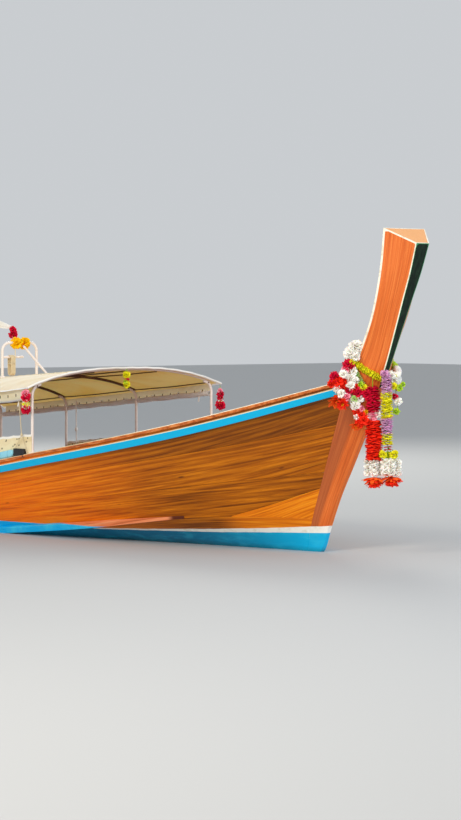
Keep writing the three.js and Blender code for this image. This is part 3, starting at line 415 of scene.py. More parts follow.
def canvas_finish():
    """Coated canvas, cream above and tan beneath, the tan being painted light for the sun shining through
    the cloth, with seams along each bow, white hems, a row of stitches and old water stains."""
    f = Finish("canopy_canvas", Roughness=0.8, Subsurface_Weight=0.6, **THIN_CLOTH)
    flat = f.cloth_map()
    patches = f.noise(flat, 1.5, 5.0, 0.6, 0.4)
    above = f.blend(patches, 0.40, 0.70, (254, 232, 196), (238, 206, 156))
    below = f.blend(patches, 0.38, 0.68, (255, 208, 144), (250, 186, 108))
    # tan where the cloth faces down: painted light of the sun through it
    shade = f.blend(f.axis(f.add("NewGeometry", "Normal"), "Z"), -0.3, 0.3, below, above)
    shade = f.stain(shade, flat, ((2.0, 8.0, 1.0), 6.0, 0.7), 0.56, 0.78, (170, 136, 92), 0.3)
    shade = f.stain(shade, flat, (9.0, 6.0, 0.75), 0.66, 0.72, (116, 86, 54), 0.5)
    shade = f.blend(f.attribute("from_edge"), 0.032, 0.028, shade, (250, 248, 242))
    shade = stitches(f, shade, 0.024, 0.5, (170, 150, 120))
    return f.done(shade, cloth_height(f, flat), 0.0011)


def roof_finish():
    """White coated cloth, sun-bleached and water-stained, with a line of stitches inside its hem."""
    f = Finish("roof_cloth", Roughness=0.78, Sheen_Weight=0.1, Sheen_Roughness=0.5)
    flat = f.cloth_map()
    shade = f.stain((244, 240, 230), flat, (1.4, 5.0, 0.6, 0.4), 0.42, 0.70, (220, 212, 192))
    shade = f.stain(shade, flat, ((2.0, 8.0, 1.0), 6.0, 0.7), 0.56, 0.80, (176, 160, 128), 0.35)
    return f.done(stitches(f, shade, 0.020, 0.6, (160, 150, 130)), cloth_height(f, flat), 0.0011)


def curtain_finish():
    """White coated cloth with a tan upper strip, dark eyelets in a row and soft creases."""
    f = Finish("curtain_cloth", Roughness=0.8, Subsurface_Weight=0.5, **THIN_CLOTH)
    flat = f.cloth_map()
    down = f.axis(flat, "Y")
    patches = f.noise(flat, (2.0, 9.0, 1.0), 5.0, 0.6)
    tan = f.blend(patches, 0.4, 0.7, (248, 232, 190), (226, 204, 156))
    white = f.blend(patches, 0.45, 0.75, (250, 248, 242), (226, 220, 206))
    shade = eyelets(f, f.blend(down, 0.062, 0.070, tan, white), flat, down, 0.118, 0.0085, (60, 46, 34))
    return f.done(shade, cloth_height(f, flat, patches), 0.001, 0.6)


def dodger_finish():
    """Cream cloth with a white hem, a row of dark eyelets and rows of small faded dark prints."""
    f = Finish("dodger_cloth", Roughness=0.85, Sheen_Weight=0.1)
    flat, down = f.cloth_map(), f.attribute("from_hem")
    patches = f.noise(flat, (2.0, 6.0, 1.0), 5.0, 0.6)
    shade = f.blend(patches, 0.4, 0.7, (244, 230, 190), (222, 200, 150))
    shade = f.blend(f.cells(flat, (15.0, 26.0, 1.0)), 0.26, 0.16, shade, (96, 84, 60), 0.75)
    shade = f.blend(down, 0.020, 0.017, shade, (250, 248, 240))
    shade = eyelets(f, shade, flat, down, 0.16, 0.0075, (50, 40, 30))
    return f.done(shade, cloth_height(f, flat, patches), 0.001, 0.6)


def ridge_finish():
    """Woven strip with dark stitches."""
    f = Finish("ridge_lacing", Roughness=0.8)
    flat = f.cloth_map()
    dots = f.cells(flat, (18.0, 24.0, 1.0))
    shade = f.mix(f.noise(flat, 40.0, 4.0, 0.6), (238, 226, 190), (206, 186, 140))
    return f.done(f.blend(dots, 0.22, 0.14, shade, (84, 66, 44)), dots, 0.002, 0.6)


def chine_finish():
    """Varnished wood with a dark cut end forward, blue below the painted line."""
    f = Finish("chine_strip", Roughness=0.4, Specular_IOR_Level=0.2, Coat_Weight=0.1, Coat_Roughness=0.2)
    wood, middle, _ = wood_colour(f, f.cloth_map(), ((250, 170, 120), (232, 128, 78), (160, 78, 40)))
    place = f.place()
    cyan = f.stain((0, 178, 244), place, (8.0, 3.0), 0.4, 0.7, (52, 200, 246))
    wood = f.blend(f.axis(place, "X"), 2.76, 2.84, wood, (92, 40, 22))
    return f.done(f.blend(f.attribute("below_line"), -0.02, -0.012, wood, cyan), middle, 0.0006)


# Meshes from whole arrays

def grid(*coordinates):
    """Arrays of coordinates spread to one shape and stacked along a last axis."""
    return np.stack(np.broadcast_arrays(*coordinates), -1)


def unit(vectors):
    return vectors / np.maximum(np.linalg.norm(vectors, axis=-1, keepdims=True), 1e-9)


def grid_faces(rows, columns, wrap=False):
    """Quads of a grid of points in row order. With wrap, the last column joins the first."""
    i, j = np.meshgrid(np.arange(rows - 1), np.arange(columns if wrap else columns - 1), indexing="ij")
    k = (j + 1) % columns
    faces = np.stack([i * columns + j, i * columns + k, (i + 1) * columns + k, (i + 1) * columns + j], -1)
    return faces.reshape(-1, 4)


def shell_faces(rows, columns):
    """Quads of a closed plate: the grid, its copy on the far side, and the strip round their edges."""
    front = grid_faces(rows, columns)
    back = front[:, ::-1] + rows * columns
    first, last = np.arange(columns), np.arange(columns) + (rows - 1) * columns
    left, right = np.arange(rows) * columns, np.arange(rows) * columns + columns - 1
    loop = np.concatenate([first, right[1:], last[::-1][1:], left[::-1][1:-1]])
    following = np.roll(loop, -1)
    strip = np.stack([following, loop, loop + rows * columns, following + rows * columns], -1)
    return np.concatenate([front, back, strip])


def signed_volume(points, faces):
    """Six times the volume inside closed quads, which is below zero when they face inwards."""
    a, b, c, d = (points[faces[:, k]] for k in range(4))
    return np.sum(a * (np.cross(b, c) + np.cross(c, d)))


def make_mesh(name, points, faces, finishes, slots=None, sharp=40, maps=None, attributes=None, caps=()):
    """Fills a mesh from arrays and turns its faces outwards. Caps are rings of point numbers."""
    points = np.asarray(points, float).reshape(-1, 3)
    faces = np.asarray(faces, int)
    if signed_volume(points, faces) < 0:
        faces = faces[:, ::-1]
        caps = [ring[::-1] for ring in caps]
    mesh = bpy.data.meshes.new(name)
    mesh.from_pydata(points.tolist(), [], faces.tolist() + [list(ring) for ring in caps])
    for finish in finishes if isinstance(finishes, (list, tuple)) else [finishes]:
        mesh.materials.append(finish)
    if slots is not None:
        numbers = np.concatenate([np.asarray(slots, int), np.zeros(len(caps), int)])
        mesh.polygons.foreach_set("material_index", numbers)
    mesh.polygons.foreach_set("use_smooth", np.ones(len(mesh.polygons), bool))
    mesh.set_sharp_from_angle(angle=np.radians(sharp))
    if maps is not None:
        corner = np.zeros(len(mesh.loops), int)
        mesh.loops.foreach_get("vertex_index", corner)
        layer = mesh.uv_layers.new(name="flat")
        layer.data.foreach_set("uv", np.asarray(maps, float).reshape(-1, 2)[corner].ravel())
    for label, values in (attributes or {}).items():
        layer = mesh.attributes.new(label, "FLOAT", "POINT")
        layer.data.foreach_set("value", np.asarray(values, np.float32).ravel())
    mesh.validate()
    obj = bpy.data.objects.new(name, mesh)
    bpy.context.scene.collection.objects.link(obj)
    return obj


def loft(name, ring, finish, **more):
    """A skin over rings of points, one ring in each row, closed at both ends."""
    rows, columns = ring.shape[:2]
    ends = [list(range(columns))[::-1], list(range((rows - 1) * columns, rows * columns))]
    return make_mesh(name, ring, grid_faces(rows, columns, wrap=True), finish, caps=ends, **more)


def closed_loft(name, ring, finish, **more):
    """A skin over rings of points whose last ring joins the first."""
    rows, columns = ring.shape[:2]
    faces = grid_faces(rows + 1, columns, wrap=True) % (rows * columns)
    return make_mesh(name, ring, faces, finish, **more)


def closed_sheet(name, outer, inner, finish, maps, attributes=None):
    """A sheet between two grids of the same size, closed round its edges."""
    both = {label: np.stack([values, values]) for label, values in (attributes or {}).items()}
    return make_mesh(name, np.stack([outer, inner]), shell_faces(*outer.shape[:2]), finish, sharp=50,
                     maps=np.stack([maps, maps]), attributes=both)


def tube_points(path, radius, sides):
    """Points of a tube and their map: metres along it and metres round it."""
    along = np.gradient(path, axis=0)
    along /= np.linalg.norm(along, axis=1)[:, None]
    side = np.cross(along[0], [0.0, 0.0, 1.0])
    if np.linalg.norm(side) < 0.1:
        side = np.cross(along[0], [0.0, 1.0, 0.0])
    frames = []
    for direction in along:
        side = side - direction * (side @ direction)
        side = side / np.linalg.norm(side)
        frames.append(side)
    side = np.array(frames)[:, None]
    other = np.cross(along, side[:, 0])[:, None]
    angle = np.linspace(0, 2 * np.pi, sides, endpoint=False)
    size = np.broadcast_to(np.asarray(radius, float), len(path))[:, None, None]
    ring = side * np.cos(angle)[None, :, None] + other * np.sin(angle)[None, :, None]
    return path[:, None] + ring * size, grid(arc_length(path, 0)[:, None], angle * size[:, :, 0])


def tube(name, path, radius, finish, sides=12):
    """A round section carried along a path. At each point it lies across the path's direction,
    and its reference direction turns as little as it can from one point to the next."""
    points, map_ = tube_points(np.asarray(path, float), radius, sides)
    return loft(name, points, finish, sharp=50, maps=map_)


def turned(name, profile, middle, finish, sides=32, sharp=35, axis="Z", closed=False):
    """A profile of radius and height turned once about an axis through the middle. A closed profile
    makes a ring."""
    profile = np.asarray(profile, float)
    angle = np.linspace(0, 2 * np.pi, sides, endpoint=False)
    radius, height = np.maximum(profile[:, :1], 0.0002), profile[:, 1:]
    ring = grid(radius * np.cos(angle), radius * np.sin(angle), height)
    ring = ring[..., {"X": [2, 0, 1], "Y": [1, 2, 0], "Z": [0, 1, 2]}[axis]] + np.asarray(middle, float)
    map_ = grid(arc_length(profile, 0)[:, None], angle * radius)
    return (closed_loft if closed else loft)(name, ring, finish, sharp=sharp, maps=map_)


def smooth_path(points, count):
    """A centripetal curve through a few points, as many points of it evenly by number."""
    return centripetal(np.asarray(points, float), np.linspace(0, 1, count))


def arc_length(points, axis):
    """Metres along one axis of a grid of points, counted from its start."""
    steps = np.linalg.norm(np.diff(points, axis=axis), axis=-1)
    start = np.zeros_like(np.take(steps, [0], axis=axis))
    return np.concatenate([start, np.cumsum(steps, axis=axis)], axis=axis)


def superellipse(angle, power):
    """Cosine and sine of the angle, each raised to a power with its sign kept."""
    return [np.sign(c) * np.abs(c) ** power for c in (np.cos(angle), np.sin(angle))]


def merge(name, parts):
    """Joins finished objects into the first one."""
    with bpy.context.temp_override(active_object=parts[0], selected_editable_objects=parts,
                                   selected_objects=parts, object=parts[0]):
        bpy.ops.object.join()
    parts[0].name = parts[0].data.name = name
    return parts[0]


def settle(obj, *nodes, slot, body="root", bevel=0.0, segments=2):
    """Bevels a piece's edges, sets it on its body and hides the nodes that it stands for."""
    if bevel:
        modifier = obj.modifiers.new("edges", "BEVEL")
        modifier.width = bevel
        modifier.segments = segments
        modifier.limit_method = "ANGLE"
        modifier.angle_limit = np.radians(35)
    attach(obj, body)
    if nodes:
        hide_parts(*nodes)
    return obj


# Hull surface, from the same lines as the frame's planking

# Columns: keel x, y, z, chine x, y, z, gunwale x, y, z, bilge bulge, flare bulge
STATIONS = np.array([
    [-5.000, 0.046, -0.120, -5.030, 0.520, 0.030, -5.144, 0.640, 0.600, 0.060, 0.020],
    [-4.000, 0.046, -0.170, -4.000, 0.730, -0.015, -4.000, 0.865, 0.530, 0.080, 0.022],
    [-2.500, 0.046, -0.205, -2.500, 0.880, -0.040, -2.500, 1.025, 0.475, 0.100, 0.025],
    [-1.000, 0.046, -0.220, -1.000, 0.930, -0.035, -1.000, 1.080, 0.490, 0.105, 0.025],
    [0.500, 0.046, -0.220, 0.500, 0.910, 0.005, 0.500, 1.090, 0.592, 0.100, 0.025],
    [1.500, 0.046, -0.205, 1.500, 0.815, 0.085, 1.500, 1.030, 0.748, 0.080, 0.025],
    [2.400, 0.046, -0.172, 2.400, 0.690, 0.180, 2.400, 0.905, 0.903, 0.055, 0.022],
    [3.100, 0.046, -0.125, 3.100, 0.520, 0.250, 3.100, 0.745, 1.043, 0.035, 0.018],
    [3.560, 0.046, -0.075, 3.580, 0.320, 0.275, 3.680, 0.545, 1.185, 0.020, 0.014],
    [3.860, 0.046, -0.020, 3.985, 0.100, 0.270, 4.500, 0.185, 1.410, 0.004, 0.006],
])
GUNWALE = STATIONS[:, 6:9]
CHINE_AT, LOW_SEAM_AT, HIGH_SEAM_AT, MITRE, PLANK, SEAM = 0.44, 0.63, 0.82, 0.006, 0.026, 0.0004
CAP_HEIGHT, CAP_INBOARD, CAP_OUTBOARD = 0.030, 0.090, 0.012
LENGTHWISE = 170

# Height of the painted line above the water and width of the white band under it, by X
PAINT_X = np.array([-5.2, 0.50, 1.60, 1.95, 2.50, 3.07, 3.57, 4.02, 4.27])
PAINT_Z = np.array([0.105, 0.105, 0.113, 0.105, 0.125, 0.152, 0.180, 0.213, 0.231])
BAND = np.array([0.0, 0.0, 0.001, 0.009, 0.015, 0.027, 0.036, 0.055, 0.066])


def centripetal(points, t):
    """A smooth curve through the points. Between two of them it is the cubic whose slopes weigh the
    neighbouring steps by the square root of their length. t runs from 0 to 1 over all the points."""
    p = np.vstack([2 * points[0] - points[1], points, 2 * points[-1] - points[-2]])
    s = np.clip(np.asarray(t, float), 0, 1) * (len(points) - 1)
    i = np.minimum(s.astype(int), len(points) - 2)
    w = (s - i)[..., None]
    a, b, c, d = p[i], p[i + 1], p[i + 2], p[i + 3]
    first, middle, last = (np.sqrt(np.linalg.norm(end - start, axis=-1))[..., None]
                           for start, end in ((a, b), (b, c), (c, d)))
    first = np.where(first < 1e-4, middle, first)
    last = np.where(last < 1e-4, middle, last)
    leave = ((b - a) / first - (c - a) / (first + middle) + (c - b) / middle) * middle
    arrive = ((c - b) / middle - (d - b) / (middle + last) + (d - c) / last) * middle
    cubic = 2 * (b - c) + leave + arrive
    return b + leave * w + (3 * (c - b) - 2 * leave - arrive) * w ** 2 + cubic * w ** 3


def skin(u, v):
    """The hull's port side at u along its length and v round its girth: from keel to chine, and from
    chine to gunwale, a parabola whose middle is pushed out square to its chord by the bulge."""
    u, v = np.broadcast_arrays(np.asarray(u, float), np.asarray(v, float))
    keel, chine, gunwale = (centripetal(STATIONS[:, k:k + 3], u) for k in (0, 3, 6))
    bulge = centripetal(STATIONS[:, (0, 9, 10)], u)
    low = v < CHINE_AT
    start = np.where(low[..., None], keel, chine)
    end = np.where(low[..., None], chine, gunwale)
    size = np.where(low, bulge[..., 1], bulge[..., 2])
    t = np.where(low, v / CHINE_AT, (v - CHINE_AT) / (1 - CHINE_AT))[..., None]
    rise = (end - start)[..., 1:]
    rise = rise / np.linalg.norm(rise, axis=-1)[..., None]
    middle = (start + end) / 2
    middle[..., 1] += size * rise[..., 1]
    middle[..., 2] -= size * rise[..., 0]
    return start * (1 - t) ** 2 + 2 * middle * t * (1 - t) + end * t ** 2


def skin_normal(u, v, lowest, highest):
    """Square to the steps along and round the hull, pointing out."""
    step = 0.002
    along = skin(np.minimum(u + step, 1), v) - skin(np.maximum(u - step, 0), v)
    around = skin(u, np.minimum(v + step, highest)) - skin(u, np.maximum(v - step, lowest))
    normal = np.cross(along, around)
    normal /= np.linalg.norm(normal, axis=-1)[..., None]
    return np.where((0.5 * normal[..., 1] - normal[..., 2] < 0)[..., None], -normal, normal)


def outward(u, v):
    """The direction out of the hull, mitred where side and bottom meet at the chine."""
    low = v < CHINE_AT
    plain = skin_normal(u, v, np.where(low, 0, CHINE_AT), np.where(low, CHINE_AT, 1))
    below = skin_normal(u, np.full_like(v, CHINE_AT - MITRE), 0, CHINE_AT)
    above = skin_normal(u, np.full_like(v, CHINE_AT + MITRE), CHINE_AT, 1)
    middle = below + above
    middle /= np.linalg.norm(middle, axis=-1)[..., None]
    middle /= np.sum(middle * above, -1)[..., None]
    return np.where((np.abs(v - CHINE_AT) > MITRE)[..., None], plain, middle)


def hull(u, v, inset=0.0, side=1):
    """A point of the hull moved in by the inset. Side is 1 for port and -1 for starboard."""
    u, v = np.broadcast_arrays(np.asarray(u, float), np.asarray(v, float))
    points = skin(u, v) - outward(u, v) * np.asarray(inset)[..., None]
    points[..., 1] *= side
    return points


def solve(value, low, high, shape):
    """Where a rising function crosses zero, for whole arrays, by halving the range."""
    low, high = np.full(shape, low, float), np.full(shape, high, float)
    for _ in range(30):
        middle = (low + high) / 2
        short = value(middle) < 0
        low, high = np.where(short, middle, low), np.where(short, high, middle)
    return (low + high) / 2


def hull_at_x(x, v, inset=0.0):
    """The hull's port side at an X and a girth fraction, moved in by the inset."""
    x, v = np.broadcast_arrays(np.asarray(x, float), np.asarray(v, float))
    return hull(solve(lambda u: hull(u, v, inset)[..., 0] - x, 0, 1, x.shape), v, inset)


def gunwale_at(x):
    """The port gunwale's point at an X."""
    x = np.asarray(x, float)
    return centripetal(GUNWALE, solve(lambda u: centripetal(GUNWALE, u)[..., 0] - x, 0, 1, x.shape))


def girth_below_gunwale(u, drop):
    """The girth fraction where the side is a given drop below the gunwale."""
    top = centripetal(GUNWALE, u)[..., 2]
    return solve(lambda v: skin(u, v)[..., 2] - (top - drop), CHINE_AT, 1, np.shape(u))


def paint_attributes(points):
    """Depth below the painted line and the white band's width at each point."""
    x, z = points[..., 0], points[..., 2]
    return {"below_line": np.interp(x, PAINT_X, PAINT_Z) - z, "band_width": np.interp(x, PAINT_X, BAND)}


def plank(name, side, lower, upper, tone, shade, finish, across=8, start=0.0):
    """A plank between two seams: its face is the hull surface from the lower to the upper girth
    fraction, each a function of u, and its back is the same surface set in by its thickness. Tone and
    painted shade are pairs of values, amidships and at the bow; the back, inside the hull, gets 0.30
    more painted shade. The back has no bottom paint."""
    u = np.linspace(start, 1, LENGTHWISE)[:, None]
    v = lower(u) + (upper(u) - lower(u)) * np.linspace(0, 1, across)[None, :]
    u = np.broadcast_to(u, v.shape)
    face = hull(u, v, 0.0, side)
    points = np.stack([face, hull(u, v, PLANK, side)])
    along = arc_length(face, 0)[:, -1][:, None]
    round_ = arc_length(face, 1)
    map_ = grid(along + 3.7 * tone[0], round_ - round_[:, -1:] + 10 * tone[0] + 5 * (side > 0))
    tone = tone[0] + (tone[1] - tone[0]) * np.interp(u, [0.80, 0.85], [0, 1])
    shade = shade[0] + (shade[1] - shade[0]) * np.interp(u, [0.55, 0.85], [0, 1])
    attributes = paint_attributes(points)
    attributes["below_line"][1] = -1.0
    attributes["plank_tone"] = np.stack([tone, tone])
    # the back faces, inside the hull, get more painted shade
    attributes["painted_shade_and_board_tone"] = np.stack([shade, shade + 0.30])
    return make_mesh(name, points, shell_faces(*v.shape), finish, maps=np.stack([map_, map_]),
                     attributes=attributes, sharp=35)


LOW_PLANK_START = 0.835


def low_seam(u):
    """Upper edge of the short low plank at the bow, which rises out of the chine."""
    return np.interp(u, [LOW_PLANK_START, 0.913, 0.967, 1.0], [CHINE_AT + 0.004, 0.499, 0.541, 0.564])


def over_low_seam(u):
    """Lower edge of the plank above it, which follows the chine further aft."""
    return np.where(u < LOW_PLANK_START, CHINE_AT + SEAM, low_seam(np.maximum(u, LOW_PLANK_START)) + 2 * SEAM)


def build_hull_planks():
    """Five planks a side, each in its own tone and painted shade, closed up along their seams."""
    finish = hull_planks_finish()
    flat = lambda value: (lambda u: np.full_like(u, value))
    sheer_top = lambda u: girth_below_gunwale(u, CAP_HEIGHT)
    # Columns: name, nodes, slot, lower seam, upper seam, tone, painted shade, points across, start
    planks = [
        ("bottom_planks", ("bottom_planking_aft", "bottom_planking_fore"), "bottom_paint",
         flat(0.0), flat(CHINE_AT - SEAM), (0.0, 0.75), (0.0, 0.0), 14, 0.0),
        ("lower_plank", ("lower_strake_aft", "lower_strake_fore"), "hull_wood",
         over_low_seam, flat(LOW_SEAM_AT - SEAM), (0.0, 0.0), (0.03, 0.03), 8, 0.0),
        ("low_bow_plank", (), "hull_wood",
         flat(CHINE_AT + SEAM), low_seam, (0.75, 0.75), (0.0, 0.0), 5, LOW_PLANK_START),
        ("middle_plank", ("middle_strake",), "hull_wood",
         flat(LOW_SEAM_AT + SEAM), flat(HIGH_SEAM_AT - SEAM), (0.10, 0.10), (0.0, 0.06), 8, 0.0),
        # the sheer plank's painted shade deepens towards the bow, under the gunwale
        ("sheer_plank", ("sheer_strake",), "hull_wood",
         flat(HIGH_SEAM_AT + SEAM), sheer_top, (0.02, 0.02), (0.12, 0.45), 8, 0.0),
    ]
    for label, side in SIDES:
        for name, nodes, slot, lower, upper, tone, shade, across, start in planks:
            piece = plank(f"{name}_{label}", side, lower, upper, tone, shade, finish, across, start)
            settle(piece, *(f"{node}_{label}" for node in nodes), slot=slot, bevel=0.002)


def carried(name, ring, finish, side_slots):
    """A profile carried along the hull. The ring's points are columns, and both ends are capped."""
    map_ = grid(arc_length(ring, 0)[:, 0][:, None], arc_length(ring, 1))
    return loft(name, ring, finish, slots=np.tile(side_slots, len(ring) - 1), maps=map_,
                attributes=paint_attributes(ring), sharp=35)


def gunwale_ring(side):
    """Profile: a flat cap with a thin cream outer lip on top, a painted highlight, from outboard to
    inboard of the gunwale.
    """
    u = np.linspace(0, 1, LENGTHWISE)
    top = centripetal(GUNWALE, u)
    low = skin(u, girth_below_gunwale(u, CAP_HEIGHT))
    at = lambda p, offset, lift=0.0: np.stack([p[:, 0], side * (p[:, 1] + offset), p[:, 2] + lift], -1)
    return np.stack([at(top, CAP_OUTBOARD, -0.007), at(low, CAP_OUTBOARD), at(low, -CAP_INBOARD),
                     at(top, -CAP_INBOARD), at(top, CAP_OUTBOARD - 0.012)], 1)


def rub_ring(side):
    """Profile: a strip 63 mm tall, proud of the planks, with a cream upper edge that is a painted highlight.
    """
    top, bottom, proud, back = 0.045, 0.108, 0.032, -0.0012
    u = np.linspace(0.004, 0.994, LENGTHWISE)
    high, low = girth_below_gunwale(u, top), girth_below_gunwale(u, bottom)
    places = ((high, back), (low, back), (low, -proud), (high + (low - high) * 0.10, -proud),
              (high, -proud + 0.006))
    return np.stack([hull(u, v, inset, side) for v, inset in places], 1)


def chine_ring(side):
    """Profile: a strip on the chine that thins forward to a cut end."""
    tip, foot = 2.93, -4.95
    x = np.concatenate([np.linspace(foot, 2.0, 90), np.linspace(2.05, tip, 30)])
    size = np.minimum(1, (tip - x) / 1.4) * 0.55 + 0.45
    proud = 0.036 * np.minimum(1, (tip - x) / 0.9) + 0.008
    low = CHINE_AT + 0.002
    high = low + 0.034 * size
    at = lambda v, out: hull_at_x(x, np.broadcast_to(v, x.shape), -out) * np.array([1, side, 1])
    ring = np.stack([at(low, 0.0012), at(low, proud), at(high, proud), at(high, 0.0012)], 1)
    ring[..., 0] = x[:, None]
    return ring


def build_gunwales():
    """The cap on the gunwale, the blue rub strip below it and the strip on the chine."""
    wood = wood_finish("gunwale_wood", ((232, 150, 84), (200, 104, 44), (128, 60, 30)), 0.42, 0.1, 0.2)
    # cream on the top edges of the cap and the rub strip: painted highlight
    cream = paint_finish("gunwale_edge_highlight", (240, 222, 178), (196, 158, 108), 0.45, coat=0.05)
    cyan = paint_finish("rail_paint", (0, 178, 230), (10, 192, 236), 0.38, (30, 120, 170), 0.1)
    for label, side in SIDES:
        settle(carried(f"gunwale_rail_{label}", gunwale_ring(side), [wood, cream], [0, 0, 0, 0, 1]),
               f"gunwale_cap_{label}", slot="cap_wood", bevel=0.005, segments=3)
        settle(carried(f"rub_strip_{label}", rub_ring(side), [cyan, cream], [0, 0, 0, 1, 1]),
               f"rub_rail_{label}", slot="rail_paint", bevel=0.004, segments=3)
        settle(carried(f"chine_strip_{label}", chine_ring(side), chine_finish(), [0, 0, 0, 0]),
               f"chine_rail_{label}", slot="rail_paint", bevel=0.004)


# Stem and prow

# Stem below the gunwale. Columns: girth fraction on the seam, knuckle share of the way forward,
# knuckle half-width, front x, z, half-width.
STEM_LOW = [
    [0.00, 0.50, 0.042, 3.861, -0.100, 0.030], [0.22, 0.42, 0.046, 4.010, 0.020, 0.020],
    [0.44, 0.38, 0.074, 4.085, 0.195, 0.018], [0.58, 0.44, 0.088, 4.212, 0.470, 0.019],
    [0.72, 0.52, 0.101, 4.365, 0.735, 0.020], [0.86, 0.58, 0.119, 4.510, 1.000, 0.021],
    [1.00, 0.62, 0.141, 4.657, 1.290, 0.023],
]

# Prow above the gunwale. Columns: aft x, z, half-width, knuckle share, half-width, front x, z, half-width.
PROW = [
    [4.545, 1.490, 0.187, 0.62, 0.128, 4.700, 1.380, 0.024],
    [4.640, 1.640, 0.190, 0.56, 0.106, 4.775, 1.540, 0.026],
    [4.765, 1.880, 0.197, 0.50, 0.117, 4.893, 1.820, 0.037],
    [4.840, 2.090, 0.205, 0.50, 0.127, 4.985, 2.040, 0.048],
    [4.897, 2.320, 0.212, 0.50, 0.135, 5.070, 2.240, 0.058],
    [4.940, 2.590, 0.221, 0.50, 0.145, 5.150, 2.470, 0.068],
]


def stem_corners():
    """Aft, knuckle and front corners of the stem's port side, one row per place up the stem."""
    places = [((skin(1.0, v) + [0.0008, 0, 0]), *rest) for v, *rest in STEM_LOW]
    places += [(np.array([x, half, z]), *rest) for x, z, half, *rest in PROW]
    rows = []
    for aft, share, knuckle, front_x, front_z, front in places:
        tip = np.array([front_x, front, front_z])
        bend = aft + (tip - aft) * share
        rows.append([aft, [bend[0], knuckle, bend[2]], tip])
    return np.array(rows)


def stem_side(corner, count):
    """Points from the aft corner over the knuckle to the front one, close together near both ends."""
    near = np.array([0.0, 0.006, 0.010, 0.016])
    aft, bend, tip = corner[:, 0], corner[:, 1], corner[:, 2]
    first = np.linalg.norm(bend - aft, axis=1)[:, None]
    second = np.linalg.norm(tip - bend, axis=1)[:, None]
    lead = [aft + (bend - aft) * (d / first) for d in near]
    middle = [aft + (bend - aft) * s for s in np.linspace(0.3, 1.0, count)]
    rest = [bend + (tip - bend) * s for s in np.linspace(0.25, 0.75, count)]
    trail = [tip + (bend - tip) * (d / second) for d in near[::-1]]
    return np.stack([*lead, *middle, *rest, *trail], 1)


def build_stem():
    """The stem: its six corners run up smooth curves; the painted lines lie by the distance to an edge."""
    keys = stem_corners()
    flip = np.array([1, -1, 1])
    t = np.linspace(0, 1, 150)
    corner = np.stack([centripetal(keys[:, k], t) for k in range(3)], 1)
    side = stem_side(corner, 4)
    mirror = side * flip
    front = [side[:, -1] + (mirror[:, -1] - side[:, -1]) * s for s in (0.2, 0.8)]
    aft = [mirror[:, 0] + (side[:, 0] - mirror[:, 0]) * s for s in (0.04, 0.3, 0.7, 0.96)]
    ring = np.concatenate([side, np.stack(front, 1), mirror[:, ::-1], np.stack(aft, 1)], 1)
    rows, columns = ring.shape[:2]
    wide, near_aft = side.shape[1], 8
    number = np.arange(columns)
    painted = (t[:-1] > 0.55)[:, None] * (np.abs(number - wide) <= 1)
    gap_to = lambda k: np.minimum(*(np.linalg.norm(ring - corner[:, k:k + 1] * turn, axis=-1)
                                    for turn in (1, flip)))
    edge = np.minimum(gap_to(0) * 0.65, gap_to(2) * 1.2)
    edge = np.minimum(edge, np.linalg.norm(ring - ring[-1:], axis=-1))
    edge = np.where(ring[..., 2] > 1.45, edge, 1.0)
    map_ = grid(arc_length(ring, 0)[:, 0][:, None], arc_length(ring, 1)[rows * 2 // 3][None, :])
    # painted shade on the lower part of the stem's sides, near its aft corners
    shade = 0.55 * (t < 0.52)[:, None] * ((number < near_aft) | (number >= 2 * wide + 2 - near_aft))
    middle = ring[-1].mean(axis=0)
    length = np.linalg.norm(ring[-1] - middle, axis=1)[:, None]
    insets = [middle + (ring[-1] - middle) * (1 - gap / length) for gap in (0.009, 0.016, 0.030)]
    ring = np.concatenate([ring, insets])
    column = lambda *values: np.array(values)[:, None] * np.ones(columns)
    map_ = np.concatenate([map_, np.stack([inset[:, :2] * 0.6 for inset in insets])])
    attributes = paint_attributes(ring)
    attributes["edge_line"] = np.concatenate([edge, column(0.009, 0.012, 0.030)])
    attributes["stem_shade"] = np.concatenate([shade, column(0.0, -1.0, -1.0)])
    body = loft("stem_timber", ring, [stem_finish(), prow_face_finish()], sharp=22, maps=map_,
                attributes=attributes, slots=np.concatenate([painted, np.zeros((3, columns))]).ravel())
    settle(body, "stem_post", slot="stem_wood", bevel=0.003)


# Passenger canopy

CANOPY_FRONT, CANOPY_AFT, CANOPY_HALF = 1.420, -2.010, 1.080
BOW_PLACES = np.array([-1.950, -0.845, 0.265, 1.375])
POST_Y, TUBE = 1.000, 0.0125
UNDER_COVER, FRONT_BOW, BATTEN = 0.0227, 0.008, 0.0055
POST_FOOT = [[0.0, 0.0], [0.034, 0.0], [0.034, 0.006], [0.030, 0.010], [0.018, 0.012], [0.016, 0.030],
             [0.0, 0.030]]

# Height of the arch's crown and eave, rise per metre forward, and the X of that height
ARCH_CROWN, ARCH_EAVE, ARCH_POWER = (1.454, 0.065, 1.410), (1.290, 0.0905, 1.340), 2.6

# Height of the dodgers' top at X = 0 and its rise per metre forward, and the pitch of its lashings
DODGER_TOP, DODGER_RISE, LASHING = 0.768, 0.093, 0.16


def arch_height(x, y):
    """Top of the arch: the crown less its rise times the 2.6th power of the distance out over the half."""
    crown, eave = (height + rise * (x - place) for height, rise, place in (ARCH_CROWN, ARCH_EAVE))
    return crown - (crown - eave) * (np.abs(y) / CANOPY_HALF) ** ARCH_POWER


def between_bows(x, places):
    """1 at a bow and 0 midway to the next one, and the count of bows passed."""
    bay = np.interp(x, places, np.arange(4.0))
    return np.abs(2 * (bay % 1) - 1), bay


